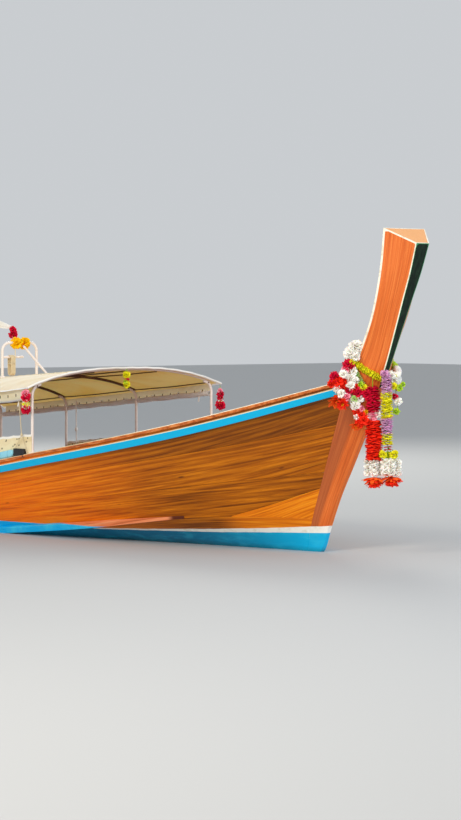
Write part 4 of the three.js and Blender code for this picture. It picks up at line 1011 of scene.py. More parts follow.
def waves_of(x, y, seed):
    """Smooth uneven ripples: a sum of sines of both places, each with its own direction and phase."""
    source = np.random.default_rng(seed)
    total = np.zeros(np.broadcast(x, y).shape)
    for scale, size in ((1.0, 1.0), (2.3, 0.5), (5.1, 0.25)):
        for _ in range(3):
            angle, phase = source.uniform(0, 2 * np.pi, 2)
            way = scale * (x * np.cos(angle) + y * np.sin(angle))
            total = total + size / 3 * np.sin(way * 2 * np.pi + phase)
    return total


def build_canopy_cover():
    """The cover lies on its bows and sinks a little between them, with creases that run in from the
    lacing along the eaves. Front and side hems are white."""
    x = np.linspace(CANOPY_AFT, CANOPY_FRONT, 160)[:, None]
    share = np.linspace(-1, 1, 101)[None, :]
    y = CANOPY_HALF * np.sin(share * np.pi / 2 * 0.92) / np.sin(np.pi / 2 * 0.92)
    near, bay = between_bows(x, BOW_PLACES)
    sag = 0.0075 * (1 - near ** 1.3) * ((x > -1.95) & (x < 1.375))
    lacing = 0.0009 * np.sin(bay * 2 * np.pi * 5) * np.abs(share) ** 6
    ripple = 0.0011 * waves_of(x * 1.4, y * 1.1, 5) + lacing
    outer = grid(x, y, arch_height(x, y) - 0.006 - sag + ripple)
    across = arc_length(outer, 1)
    girth = across[:, -1:]
    edge = np.minimum(CANOPY_FRONT - x, girth / 2 - np.abs(across - girth / 2))
    edge = np.minimum(edge, x - CANOPY_AFT)
    cover = closed_sheet("canopy_sheet", outer, outer - np.array([0, 0, 0.0024]), canvas_finish(),
                         grid(x - CANOPY_AFT, across - across[:, 50:51]), {"from_edge": edge})
    settle(cover, "canopy_cover", slot="canopy_cloth")
    return cover, float(girth.mean())


def build_canopy_trim(white):
    """A piped front edge, and a laced strip along the ridge with its stitches standing proud."""
    share = np.linspace(-1, 1, 120)
    y = share * CANOPY_HALF
    front = grid(CANOPY_FRONT - 0.002, y, arch_height(CANOPY_FRONT, y) - 0.004 + 0.0012 * np.sin(share * 40))
    settle(tube("canopy_piping", front, 0.0095, white), slot="white_cloth")
    x = np.linspace(-1.93, 1.30, 200)[:, None]
    y = np.linspace(-0.05, 0.05, 9)[None, :]
    rise = 0.010 * np.cos(y / 0.05 * np.pi / 2) ** 0.5 + 0.0035 * np.sin(x * 2 * np.pi / 0.11)
    outer = grid(x, y, arch_height(x, y) - 0.0052 + np.maximum(rise, 0.0012))
    inner = grid(x, y, arch_height(x, y) - 0.0058)
    settle(closed_sheet("ridge_strip", outer, inner, ridge_finish(), grid(x, y)), slot="canopy_cloth")


def build_canopy_frame(white, dark):
    """Posts of painted tube on round feet, and bent bows and lengthwise battens in a dark brown wood
    finish, which is painted shade for the canopy's shadow over them.
    """
    posts, bows = [], []
    rail = POST_Y - 0.030
    across = np.linspace(-1, 1, 60) * rail * 1.01
    for number, x in enumerate(BOW_PLACES):
        front = number == 3
        bow = grid(x, across, arch_height(x, across) - (0.0082 + FRONT_BOW if front else UNDER_COVER))
        # the dark brown of the bows is painted shade under the canopy
        (posts if front else bows).append(
            tube(f"bow_{number}", bow, FRONT_BOW if front else TUBE, white if front else dark))
        foot, top = gunwale_at(x)[2], arch_height(x, rail) - UNDER_COVER
        for label, side in SIDES:
            line = [(POST_Y, foot - 0.002), (POST_Y, foot + 0.2), (POST_Y, top - 0.14),
                    (POST_Y - 0.004, top - 0.06), (rail - 0.004, top - 0.012), (rail - 0.06, top + 0.012)]
            path = smooth_path([(x, side * y, z) for y, z in line], 40)
            posts.append(tube(f"post_{number}_{label}", path, TUBE, white, 14))
            place = (x, side * POST_Y, foot - 0.003)
            posts.append(turned(f"foot_{number}_{label}", POST_FOOT, place, white, 24))
    x = np.linspace(BOW_PLACES[0] - 0.02, BOW_PLACES[-1] + 0.02, 60)
    for k in (0, 0.36, -0.36, 0.985, -0.985):
        z = arch_height(x, k * rail) - UNDER_COVER - 0.009 - 0.006 * (1 - between_bows(x, BOW_PLACES)[0])
        bows.append(tube(f"batten_{k}", grid(x, k * rail, z), BATTEN, dark, 10))
    settle(merge("canopy_bows", bows), slot="inner_wood")
    settle(merge("canopy_posts", posts), "canopy_frame", slot="white_tube")


# Cloths at the sides

ROLL_Y, ROLL_RADIUS, ROLL_DROP = 1.045, 0.0245, 0.082
CURTAIN_FROM, CURTAIN_TO = -1.930, 1.325


def curtain_profile():
    """The curtain's section: down from the eave, then wound inwards in a spiral with 2.6 turns."""
    drop = np.linspace(0, 1, 12)[:, None] * np.array([[0.0, -0.070]])
    turn = np.linspace(0, 2.6 * 2 * np.pi, 100)
    radius = ROLL_RADIUS - 0.0038 * turn / (2 * np.pi)
    spiral = np.stack([-ROLL_RADIUS + radius * np.cos(turn), -ROLL_DROP - radius * np.sin(turn)], -1)
    join = np.linspace(0, 1, 6)[1:-1, None] * (spiral[0] - drop[-1]) + drop[-1]
    return np.concatenate([drop, join, spiral])


def build_curtains(white):
    """Rolled side curtains: the spiral section carried along the eave, sagging a little between its
    ties and squeezed where a tie holds it, with small folds along the roll."""
    profile = curtain_profile()
    rolled = arc_length(profile, 0)
    tangent = unit(np.gradient(profile, axis=0))
    normal = np.stack([tangent[:, 1], -tangent[:, 0]], -1)
    x = np.linspace(CURTAIN_FROM, CURTAIN_TO, 140)
    ties = np.linspace(CURTAIN_FROM + 0.06, CURTAIN_TO - 0.06, 9)
    near = np.min(np.abs(x[:, None] - ties[None, :]), axis=1)[:, None]
    squeeze = 0.12 * np.exp(-(near / 0.022) ** 2)[..., None]
    sag = 0.004 * np.sin(np.clip(near / 0.2, 0, 1) * np.pi / 2) ** 2
    eave = arch_height(x, ROLL_Y)[:, None] - 0.012
    share = np.linspace(0, 1, len(profile))[None, :]
    finish = curtain_finish()
    for label, side in SIDES:
        wave = 0.0014 * waves_of(x[:, None] * 2.2, share * 0.7, 11 + side)
        faces = []
        for offset in (0.0009, -0.0009):
            section = profile + normal * offset
            pinch = (section - np.array([-ROLL_RADIUS, -ROLL_DROP])) * (section[:, 1:] < -0.055)
            out = section[None] - pinch * squeeze
            out_z = eave + out[..., 1] - sag * np.clip(-section[:, 1] / 0.07, 0, 1)
            faces.append(grid(x[:, None], side * (ROLL_Y + out[..., 0] + wave), out_z))
        roll = closed_sheet(f"rolled_curtain_{label}", *faces, finish,
                            grid(x[:, None] - CURTAIN_FROM, share * rolled[-1]))
        settle(roll, f"side_curtain_{label}", slot="white_cloth")
        straps = [strap_loop(f"curtain_tie_{label}_{k}", place, side, white) for k, place in enumerate(ties)]
        end = [[1.20, 1.018, 1.235], [1.20, 1.012, 1.19], [1.185, 1.010, 1.155], [1.178, 1.012, 1.125]]
        end = smooth_path(np.array(end) * [1, side, 1], 14)
        straps.append(tube(f"tie_end_{label}", end, 0.0055, white, 8))
        straps = settle(merge(f"curtain_ties_{label}", straps), slot="white_cloth")


def strap_loop(name, x, side, finish):
    """A flat tie: a ribbon section led round the roll and up to the eave batten."""
    angle = np.linspace(0, 2 * np.pi, 28, endpoint=False)
    eave = arch_height(x, ROLL_Y) - 0.012
    inner = np.stack([ROLL_Y - ROLL_RADIUS + 0.0225 * np.cos(angle), eave - ROLL_DROP + 0.0225 * np.sin(angle)
                      + 0.010 * np.clip(np.sin(angle), 0, 1) ** 3], -1)
    middle = inner.mean(0)
    outer = middle + (inner - middle) * 1.10
    corners = ((-0.006, inner), (-0.006, outer), (0.006, outer), (0.006, inner))
    ring = np.stack([grid(x + offset, side * line[:, 0], line[:, 1]) for offset, line in corners], 1)
    map_ = grid(np.arange(28)[:, None] * 0.005, np.zeros(4))
    return closed_loft(name, ring, finish, maps=map_)


def weather_cloth(label, side, start, end, finish):
    """A laced dodger along the gunwale: it waves in and out a little between the posts, and its white
    top hem scallops between its lashings."""
    x = np.linspace(start, end, 240)[:, None]
    rise = np.linspace(0, 1, 26)[None, :]
    foot = gunwale_at(x)[..., 2] - 0.003
    tall = DODGER_TOP + DODGER_RISE * x - 0.006 * np.abs(np.sin(x * np.pi / LASHING)) - foot
    z = foot + tall * rise
    wave = 0.004 * waves_of(x * 1.8, rise * 0.6, 21 + side) * np.sin(np.clip(rise * 1.1, 0, 1) * np.pi) ** 0.5
    near = np.minimum(1, np.min(np.abs(x[..., None] - BOW_PLACES), axis=-1) / 0.12)
    y = POST_Y + TUBE + 0.0022 + np.maximum(wave, 0) * near
    thick = 0.0018 + 0.0022 * (rise > 0.93)
    cloth = closed_sheet(f"dodger_{label}", grid(x, side * (y + thick), z), grid(x, side * y, z), finish,
                         grid(x - start, rise * tall), {"from_hem": (1 - rise) * tall})
    settle(cloth, f"weather_cloth_{label}", slot="canopy_cloth")


# Hoop on the canopy roof, with its rope

HOOP_X, HOOP_HALF, HOOP_TOP, HOOP_BAR = -0.220, 0.195, 1.660, 1.528


def build_hoop(white):
    """A bent tube hoop on round pads, with a bar half across it and a brace forward to the cover."""
    foot = arch_height(HOOP_X, HOOP_HALF) - 0.006
    angle = np.linspace(np.pi, np.pi / 2, 10)
    corner, flip = 0.075, np.array([-1, 1])
    left = grid(-HOOP_HALF + corner + corner * np.cos(angle), HOOP_TOP - corner + corner * np.sin(angle))
    up = grid(-HOOP_HALF, np.linspace(foot, HOOP_TOP - corner, 8)[:-1])
    line = np.concatenate([up, left, left[::-1] * flip, up[::-1] * flip])
    parts = [tube("hoop_arch", grid(HOOP_X, line[:, 0], line[:, 1]), 0.013, white, 16)]
    bar = [[HOOP_X, y, HOOP_BAR] for y in (-HOOP_HALF, -0.1, 0.04)]
    brace_x, brace_y = 0.120, 0.070
    brace_z = arch_height(brace_x, brace_y)
    brace = np.linspace([HOOP_X, 0.020, HOOP_TOP - 0.004], [brace_x, brace_y, brace_z + 0.003], 6)
    parts += [tube("hoop_bar", bar, 0.011, white, 14), tube("hoop_brace", brace, 0.011, white, 14)]
    pad = np.array([[0.0, 0.0], [0.030, 0.0], [0.030, 0.006], [0.026, 0.010], [0.014, 0.016], [0.0, 0.016]])
    for side in (1, -1):
        parts.append(turned(f"hoop_pad_{side}", pad, (HOOP_X, side * HOOP_HALF, foot - 0.001), white, 28))
    parts.append(turned("brace_pad", pad * [0.8, 0.7], (brace_x, brace_y, brace_z - 0.001), white, 24))
    settle(merge("hoop_tubes", parts), "roof_hoop", slot="white_tube")


ROPE, HANK_HALF, HANK_RUN, HANK_TURNS = 0.008, 0.0245, 0.136, 6
HANK_Y, HANK_PITCH = -0.066, ROPE * 1.06


def build_hank():
    """A hank of rope over the hoop's bar: from the hoop's top down to the bar, then turns side by
    side, each a long loop with round ends. A thin line is tied round them below the bar."""
    start = HANK_Y + np.array([0.012, 0.008, 0.004, 0.0])
    start = grid(HOOP_X + np.array([0.0, 0.017, 0.020, HANK_HALF]), start,
                 [HOOP_TOP + 0.017, HOOP_TOP + 0.004, HOOP_TOP - 0.03, HOOP_BAR + 0.03])
    up = np.linspace(np.pi, 0, 14)[:-1]
    low = np.linspace(0, -np.pi, 14)[:-1]
    run = np.linspace(0, 1, 9)[:-1]
    lap = np.concatenate([
        grid(HANK_HALF, -HANK_RUN * run), grid(HANK_HALF * np.cos(low), -HANK_RUN + HANK_HALF * np.sin(low)),
        grid(-HANK_HALF, -HANK_RUN * (1 - run)), grid(HANK_HALF * np.cos(up), HANK_HALF * np.sin(up))])
    laps = np.tile(lap, (HANK_TURNS, 1))
    step = np.arange(len(laps)) / len(lap)
    body = grid(HOOP_X + laps[:, 0], HANK_Y - step * HANK_PITCH, HOOP_BAR - 0.008 + laps[:, 1])
    path = np.concatenate([smooth_path(start, 24)[:-1], body])
    finish = rope_finish()
    rope = settle(tube("hank_rope", path, ROPE / 2, finish, 10), "rope_hank", slot="rope")
    tie = settle(hank_tie(finish), slot="rope")
    float(arc_length(path, 0)[-1])


def hank_tie(finish):
    """Three close turns of thin line round the whole hank."""
    angle = np.linspace(0, 3 * 2 * np.pi, 90)
    half_x, half_y = HANK_HALF + ROPE / 2 + 0.0018, HANK_TURNS * HANK_PITCH / 2 + 0.0022
    middle_y = HANK_Y - (HANK_TURNS - 0.5) * HANK_PITCH / 2 - HANK_PITCH * 0.15
    across, along = superellipse(angle, 0.5)
    path = grid(HOOP_X + half_x * across, middle_y + half_y * along * 1.06,
                HOOP_BAR - 0.052 - angle / (2 * np.pi) * 0.0046)
    return tube("hank_tie", path, 0.0021, finish, 8)


# Garlands of petals

GARLAND_BASE = np.array([4.87, -0.05])
ACROSS = np.array([0.643, 0.766])
NEARER = np.array([0.766, -0.643])
GOLDEN_ANGLE, CORD = 2.399963, 0.003

# A petal's colours, deep at the root and light at the tip
PETAL_COLOURS = {
    "crimson": ((150, 0, 34), (226, 18, 62)), "scarlet": ((196, 12, 10), (255, 52, 24)),
    "orange": ((226, 40, 8), (255, 104, 30)), "yellow": ((206, 196, 0), (244, 238, 40)),
    "gold": ((238, 160, 0), (255, 208, 10)), "white": ((226, 214, 190), (255, 253, 248)),
    "mauve": ((176, 96, 160), (228, 176, 214)), "leaf": ((120, 176, 30), (196, 226, 60)),
    "mint": ((150, 200, 96), (206, 236, 156)), "pink": ((226, 60, 110), (255, 170, 190)),
}
COLOUR_NUMBERS = {name: number for number, name in enumerate(PETAL_COLOURS)}


def spot(a, t, z):
    """A point a across the view from the stem's front, t nearer than it, at height z."""
    return np.array([*(GARLAND_BASE + a * ACROSS + t * NEARER), z])


def about(facing, near):
    """Two directions square to each other and to the one faced."""
    first = unit(np.cross(facing, near))
    return first, np.cross(facing, first)


class Petals:
    """Small closed petals gathered for one mesh. Each starts at its root, points along its first axis,
    is widest across its second and curls towards its third by the square of the way to its tip."""

    def __init__(self, seed):
        self.random = np.random.default_rng(seed)
        self.heaps = []

    def add(self, roots, ahead, up, length, width, colour, curl=0.25):
        roots = np.asarray(roots, float)
        count = len(roots)
        draw, shape = self.random, (count, 3, 4)
        ahead = unit(np.broadcast_to(ahead, (count, 3)) + draw.normal(0, 0.14, (count, 3)))
        across = unit(np.cross(np.broadcast_to(up, (count, 3)) + draw.normal(0, 0.2, (count, 3)), ahead))
        rise = np.cross(ahead, across)
        length = (length * draw.uniform(0.78, 1.2, count))[:, None, None, None]
        width = (width * draw.uniform(0.8, 1.2, count))[:, None, None, None]
        s = np.array([0.0, 0.55, 1.0])[:, None, None]
        side = np.array([0.28, 1.0, 0.60])[:, None] * np.array([1.0, 0.0, -1.0, 0.0])
        proud = np.array([0.5, 1.0, 0.4])[:, None] * np.array([0.0, 1.0, 0.0, -1.0]) * 0.09
        points = (roots[:, None, None] + ahead[:, None, None] * length * s
                  + across[:, None, None] * width / 2 * side[..., None]
                  + rise[:, None, None] * (proud[..., None] * width + curl * length * s ** 2))
        self.heaps.append((points, np.broadcast_to(s[..., 0], shape),
                           np.broadcast_to(draw.uniform(0, 1, count)[:, None, None], shape),
                           np.full(count, COLOUR_NUMBERS[colour])))

    def ball(self, middle, radius, count, colour, squash=(1, 1, 1)):
        """Petals pointing out evenly in all directions, by the golden angle."""
        k = np.arange(count) + 0.5
        z, turn = 1 - 2 * k / count, k * GOLDEN_ANGLE
        wide = np.sqrt(1 - z ** 2)
        out = grid(wide * np.cos(turn), wide * np.sin(turn), z) * squash
        self.add(np.asarray(middle) + out * radius * 0.30, out, self.random.normal(0, 1, (count, 3)),
                 radius * 0.72, radius * 0.62, colour, 0.2)

    def ruffle(self, path, radius, colour, pitch=0.011, around=11, lean=-0.25):
        """Rings of petals close together along a path, each ring turned a little from the last one."""
        step = arc_length(path, 0)
        rings = max(2, int(step[-1] / pitch))
        along = np.linspace(0, step[-1], rings)
        places = np.stack([np.interp(along, step, path[:, k]) for k in range(3)], -1)
        ahead = unit(np.gradient(places, axis=0))
        size = np.interp(along / step[-1], np.linspace(0, 1, np.size(radius)), np.atleast_1d(radius))
        first, second = about(ahead, [0.31, 0.87, 0.38])
        turn = np.arange(around)[None, :] / around * 2 * np.pi + np.arange(rings)[:, None] * 2.4
        out = first[:, None] * np.cos(turn)[..., None] + second[:, None] * np.sin(turn)[..., None]
        roots = places[:, None] + out * size[:, None, None] * 0.18
        heading = out + ahead[:, None] * lean
        up = np.broadcast_to(ahead[:, None], heading.shape)
        wide = 2 * np.pi * size.mean() / around * 1.7
        self.add(roots.reshape(-1, 3), heading.reshape(-1, 3), up.reshape(-1, 3),
                 np.repeat(size, around) * 0.85, wide, colour, 0.22)

    def bloom(self, middle, facing, radius, colour, heart, around=16, rings=4):
        """An open flower: rings of petals from flat outside to upright inside, round a small heart."""
        facing = unit(np.asarray(facing, float))
        first, second = about(facing, [0.3, 0.2, 0.93])
        for ring in range(rings):
            turn = np.arange(around) / around * 2 * np.pi + ring * 0.5
            out = first * np.cos(turn)[:, None] + second * np.sin(turn)[:, None]
            size = radius * (1 - 0.18 * ring)
            roots = middle + out * radius * 0.12 + facing * radius * 0.08 * ring
            self.add(roots, out + facing * (0.1 + 0.4 * ring), facing, size * 0.9,
                     2 * np.pi * size / around * 1.05, colour, 0.18)
        self.ball(middle + facing * radius * 0.3, radius * 0.3, 24, heart)

    def build(self, name, finishes):
        points, along, tint, numbers = (np.concatenate(part) for part in zip(*self.heaps))
        used, slots = np.unique(numbers, return_inverse=True)
        one = np.concatenate([grid_faces(3, 4, wrap=True), [[3, 2, 1, 0], [8, 9, 10, 11]]])
        faces = (np.arange(len(points)) * 12)[:, None, None] + one[None]
        chosen = [finishes[list(PETAL_COLOURS)[number]] for number in used]
        return make_mesh(name, points, faces.reshape(-1, 4), chosen, np.repeat(slots, len(one)), sharp=70,
                         attributes={"to_tip": along, "petal_tint": tint})


def petal_finish(name, deep, light):
    """Deep at the root, light at the tip, each petal of its own tone, with veins."""
    f = Finish(f"petal_{name}", Roughness=0.7, Specular_IOR_Level=0.15, Subsurface_Weight=0.1,
               Subsurface_Scale=0.008)
    shade = f.blend(f.attribute("to_tip"), 0.0, 0.8, deep, light)
    shade = f.mix(f.times(f.attribute("petal_tint"), 0.25), shade, deep)
    veins = f.noise(f.place(), 260.0, 3.0, 0.6)
    return f.done(f.mix(f.times(veins, 0.18), shade, light), veins, 0.0008)


# Fluffy balls on the prow. Columns: across, nearer, height, radius, petals, colour.
PROW_BALLS = [
    [-0.285, -0.105, 1.662, 0.056, 110, "white"], [-0.330, -0.105, 1.618, 0.050, 90, "white"],
    [-0.285, -0.080, 1.590, 0.036, 60, "white"], [-0.342, -0.100, 1.520, 0.050, 90, "crimson"],
    [-0.312, -0.085, 1.548, 0.026, 40, "yellow"], [-0.420, -0.075, 1.395, 0.056, 110, "scarlet"],
    [-0.452, -0.070, 1.432, 0.044, 80, "crimson"], [-0.478, -0.080, 1.380, 0.034, 50, "scarlet"],
    [-0.385, -0.050, 1.450, 0.037, 60, "white"], [-0.330, -0.065, 1.425, 0.040, 70, "white"],
    [-0.330, -0.050, 1.362, 0.040, 70, "white"], [-0.286, -0.060, 1.400, 0.030, 50, "white"],
    [-0.400, -0.040, 1.300, 0.036, 60, "white"], [-0.358, -0.040, 1.275, 0.032, 50, "pink"],
    [-0.345, -0.060, 1.330, 0.040, 70, "crimson"], [-0.265, -0.060, 1.310, 0.045, 80, "crimson"],
    [-0.228, -0.070, 1.345, 0.036, 70, "yellow"], [-0.250, -0.060, 1.372, 0.026, 40, "leaf"],
    [-0.290, -0.045, 1.205, 0.040, 70, "white"], [-0.245, -0.045, 1.180, 0.030, 50, "pink"],
    [-0.210, -0.050, 1.158, 0.022, 40, "gold"], [-0.245, -0.050, 1.128, 0.044, 80, "scarlet"],
    [-0.280, -0.040, 1.118, 0.026, 40, "white"], [-0.155, -0.050, 1.125, 0.042, 80, "pink"],
    [-0.115, -0.045, 1.140, 0.030, 50, "white"], [-0.185, -0.050, 1.118, 0.030, 50, "white"],
    [0.055, -0.060, 1.345, 0.030, 50, "leaf"], [0.010, -0.050, 1.360, 0.028, 50, "yellow"],
    [-0.005, -0.070, 1.445, 0.034, 60, "white"], [0.020, -0.100, 1.405, 0.032, 50, "white"],
    [0.045, -0.060, 1.238, 0.032, 50, "white"], [0.020, -0.060, 1.275, 0.026, 40, "crimson"],
    [0.030, -0.050, 1.162, 0.030, 50, "leaf"], [0.085, -0.080, 1.372, 0.022, 40, "leaf"],
    [-0.060, -0.050, 1.455, 0.034, 60, "mauve"], [-0.372, -0.085, 1.398, 0.046, 80, "scarlet"],
    [-0.310, -0.090, 1.470, 0.038, 60, "white"], [-0.365, -0.090, 1.480, 0.036, 60, "pink"],
    [-0.300, -0.075, 1.345, 0.045, 80, "scarlet"], [-0.200, -0.060, 1.300, 0.045, 80, "crimson"],
    [-0.275, -0.055, 1.160, 0.040, 70, "scarlet"], [-0.225, -0.050, 1.098, 0.048, 90, "scarlet"],
    [-0.255, -0.050, 1.072, 0.042, 80, "scarlet"], [-0.430, -0.070, 1.335, 0.036, 60, "white"],
    [-0.385, -0.060, 1.345, 0.036, 60, "scarlet"], [-0.300, -0.055, 1.255, 0.034, 50, "mint"],
    [-0.250, -0.060, 1.262, 0.032, 50, "white"],
]

# Open flowers on the prow. Columns: across, nearer, height, facing x, y, z, radius, colour, heart.
PROW_BLOOMS = [
    [-0.430, -0.060, 1.250, 0.5, -0.4, -0.8, 0.078, "orange", "gold"],
    [-0.285, -0.045, 1.055, 0.4, -0.4, -0.8, 0.046, "orange", "gold"],
    [-0.395, -0.020, 1.225, 0.6, -0.5, -0.5, 0.050, "scarlet", "gold"],
    [-0.140, -0.060, 0.642, 0.1, -0.1, -1.0, 0.095, "orange", "scarlet"],
    [-0.140, -0.060, 0.618, 0.1, -0.1, -1.0, 0.085, "scarlet", "orange"],
    [0.000, -0.045, 0.646, 0.1, -0.1, -1.0, 0.085, "orange", "scarlet"],
    [0.000, -0.045, 0.626, 0.1, -0.1, -1.0, 0.078, "scarlet", "orange"],
    [-0.050, -0.030, 1.300, 0.7, -0.6, 0.2, 0.034, "white", "gold"],
]

# Strands on the prow. Columns: from across, nearer, height, to across, nearer, height, radii, colour.
PROW_STRANDS = [
    [-0.155, -0.065, 1.345, -0.152, -0.062, 1.160, (0.048, 0.056, 0.052), "crimson"],
    [-0.143, -0.060, 1.085, -0.143, -0.060, 0.780, (0.050, 0.062, 0.064, 0.060, 0.062), "scarlet"],
    [-0.150, -0.090, 1.080, -0.148, -0.090, 0.800, (0.050, 0.055), "crimson"],
    [-0.050, -0.030, 1.445, -0.048, -0.030, 1.306, (0.036, 0.042), "mauve"],
    [-0.048, -0.030, 1.304, -0.046, -0.030, 1.110, (0.042, 0.044), "yellow"],
    [-0.046, -0.030, 1.108, -0.042, -0.030, 0.986, (0.044, 0.040), "mauve"],
    [-0.042, -0.030, 0.984, -0.040, -0.030, 0.908, (0.042, 0.044), "yellow"],
    [-0.040, -0.030, 0.902, -0.036, -0.030, 0.862, (0.034, 0.030), "crimson"],
    [-0.300, -0.110, 1.500, -0.235, -0.080, 1.375, (0.020, 0.022), "mint"],
    [-0.345, -0.060, 1.290, -0.300, -0.050, 1.215, (0.022, 0.026), "white"],
]

# Hanging tassels of white balls. Columns: across, nearer, radius.
PROW_TASSELS = [
    [-0.190, -0.070, 0.034], [-0.142, -0.040, 0.037], [-0.098, -0.070, 0.034], [-0.055, -0.030, 0.036],
    [-0.008, -0.010, 0.037], [0.040, -0.035, 0.035],
]

# The yellow lei's way round the stem: down across the near side, round the front, up the far side
# and back behind it. Columns here and below: across, nearer, height.
PROW_LEI = [
    (-0.311, -0.125, 1.558), (-0.225, -0.110, 1.492), (-0.117, -0.092, 1.432), (-0.055, -0.085, 1.410),
    (0.012, -0.150, 1.425), (0.050, -0.240, 1.446), (0.056, -0.330, 1.478), (0.010, -0.410, 1.540),
    (-0.100, -0.440, 1.618), (-0.200, -0.400, 1.630), (-0.275, -0.320, 1.628), (-0.325, -0.235, 1.612),
    (-0.338, -0.170, 1.590), (-0.318, -0.128, 1.562),
]
PROW_CORDS = [
    ((-0.155, -0.065, 1.42), (-0.143, -0.060, 0.60)), ((-0.050, -0.050, 1.42), (-0.030, -0.030, 0.62)),
    ((-0.330, -0.085, 1.56), (-0.345, -0.060, 1.30)), ((-0.345, -0.060, 1.30), (-0.245, -0.045, 1.08)),
    ((-0.030, -0.030, 0.88), (0.060, -0.045, 0.70)), ((-0.03, -0.03, 0.88), (-0.075, -0.03, 0.70)),
    ((-0.143, -0.06, 0.80), (-0.185, -0.07, 0.70)), ((-0.342, -0.10, 1.55), (-0.45, -0.07, 1.40)),
    ((-0.45, -0.07, 1.42), (-0.43, -0.06, 1.26)), ((0.02, -0.14, 1.42), (0.045, -0.06, 1.16)),
    ((0.0, -0.045, 0.86), (0.0, -0.045, 0.61)), ((-0.30, -0.12, 1.545), (-0.28, -0.10, 1.68)),
]


def through(knots, count):
    """A smooth path through places given across, nearer and by height."""
    return smooth_path([spot(*knot) for knot in knots], count)


def build_prow_garland(petals):
    """Leis, columns, balls and open flowers hung round the prow, threaded on a thin green core."""
    heap = Petals(31)
    lei = through(PROW_LEI, 160)
    # Columns: first and last point of the lei, drop below it, radius, pitch, colour
    ruffles = [
        (0, 52, 0, 0.026, 0.0085, "yellow"), (50, 78, 0, 0.026, 0.0085, "white"),
        (76, 92, 0, 0.026, 0.0085, "leaf"), (90, 160, 0, 0.026, 0.0085, "yellow"),
        (52, 118, 0.052, 0.026, 0.012, "white"), (60, 100, 0.097, 0.026, 0.012, "crimson"),
        (118, 150, 0.054, 0.030, 0.012, "crimson"),
    ]
    for first, last, drop, radius, pitch, colour in ruffles:
        heap.ruffle(lei[first:last] - [0, 0, drop], radius, colour, pitch, 8, -0.1)
    for a, t, z, radius, count, colour in PROW_BALLS:
        heap.ball(spot(a, t, z), radius, count, colour)
    for a, t, z, *facing, radius, colour, heart in PROW_BLOOMS:
        heap.bloom(spot(a, t, z), facing, radius, colour, heart)
    for *ends, radii, colour in PROW_STRANDS:
        heap.ruffle(through((ends[:3], ends[3:]), 20), np.array(radii), colour)
    for a, t, radius in PROW_TASSELS:
        for z in (0.762, 0.722, 0.682):
            heap.ball(spot(a, t, z), radius, 50, "white", (1, 1, 0.8))
    for a, t, z, radius, count in ((-0.078, -0.010, 0.826, 0.034, 60), (0.012, -0.010, 0.826, 0.034, 60),
                                   (-0.033, -0.060, 0.818, 0.030, 50)):
        heap.ball(spot(a, t, z), radius, count, "yellow")
    settle(heap.build("prow_flowers", petals), "prow_garland", slot="garland")
    green = petals["leaf"]
    stem = through([(-0.245, -0.080, 1.362), (-0.180, -0.072, 1.345), (-0.110, -0.075, 1.332)], 16)
    cords = [tube("cord_lei", lei, 0.0045, green, 8)]
    for number, run in enumerate(PROW_CORDS):
        cords.append(tube(f"cord_{number}", through(run, 8), CORD, green, 6))
    cords.append(tube("green_stem", stem, 0.008, green, 8))
    settle(merge("prow_garland_core", cords), slot="garland")


# Small garlands on the canopy: the top of the cord, and balls of petals in columns: x, y, height,
# radius, petals, colour.
SMALL_GARLANDS = {
    "corner_garland_starboard": (1.293, [
        [1.378, -1.070, 1.243, 0.038, 60, "pink"], [1.382, -1.072, 1.212, 0.042, 80, "crimson"],
        [1.380, -1.072, 1.178, 0.027, 40, "white"], [1.382, -1.072, 1.152, 0.030, 50, "yellow"],
        [1.382, -1.072, 1.130, 0.031, 50, "white"], [1.382, -1.072, 1.108, 0.042, 90, "crimson"],
    ]),
    "corner_garland_port": (1.277, [
        [1.416, 1.070, 1.226, 0.026, 40, "pink"], [1.416, 1.072, 1.198, 0.033, 60, "crimson"],
        [1.416, 1.072, 1.164, 0.031, 50, "crimson"], [1.416, 1.072, 1.136, 0.026, 40, "white"],
        [1.416, 1.072, 1.116, 0.028, 50, "leaf"], [1.416, 1.072, 1.098, 0.046, 90, "crimson"],
    ]),
    "arch_flower": (1.442, [
        [1.424, -0.010, 1.388, 0.036, 60, "yellow"], [1.428, -0.010, 1.344, 0.024, 40, "crimson"],
        [1.424, -0.010, 1.306, 0.034, 60, "yellow"], [1.430, -0.028, 1.330, 0.020, 30, "leaf"],
    ]),
    "hoop_flowers": (None, [
        [-0.215, -0.036, 1.655, 0.055, 170, "gold"], [-0.215, 0.052, 1.655, 0.055, 170, "gold"],
        [-0.195, 0.008, 1.648, 0.024, 40, "orange"],
    ]),
    "roof_flower": (1.810, [
        [-1.690, 0.965, 1.775, 0.036, 60, "crimson"], [-1.690, 0.968, 1.725, 0.044, 80, "crimson"],
        [-1.690, 0.970, 1.690, 0.024, 40, "pink"],
    ]),
}


def build_small_garlands(petals):
    """Balls threaded on a short cord that is tied to a corner of a canopy."""
    for number, (name, (cord_top, balls)) in enumerate(SMALL_GARLANDS.items()):
        heap = Petals(50 + number)
        for x, y, z, radius, count, colour in balls:
            heap.ball((x, y, z), radius, count, colour)
        parts = [heap.build(name, petals)]
        if cord_top:
            top, foot = np.array([*balls[0][:2], cord_top]), np.array(balls[-1][:3])
            cord = smooth_path([top, (top + foot) / 2, foot], 10)
            parts.append(tube(f"{name}_cord", cord, CORD, petals["leaf"], 6))
        settle(merge(name, parts), slot="garland")


# Aft roof

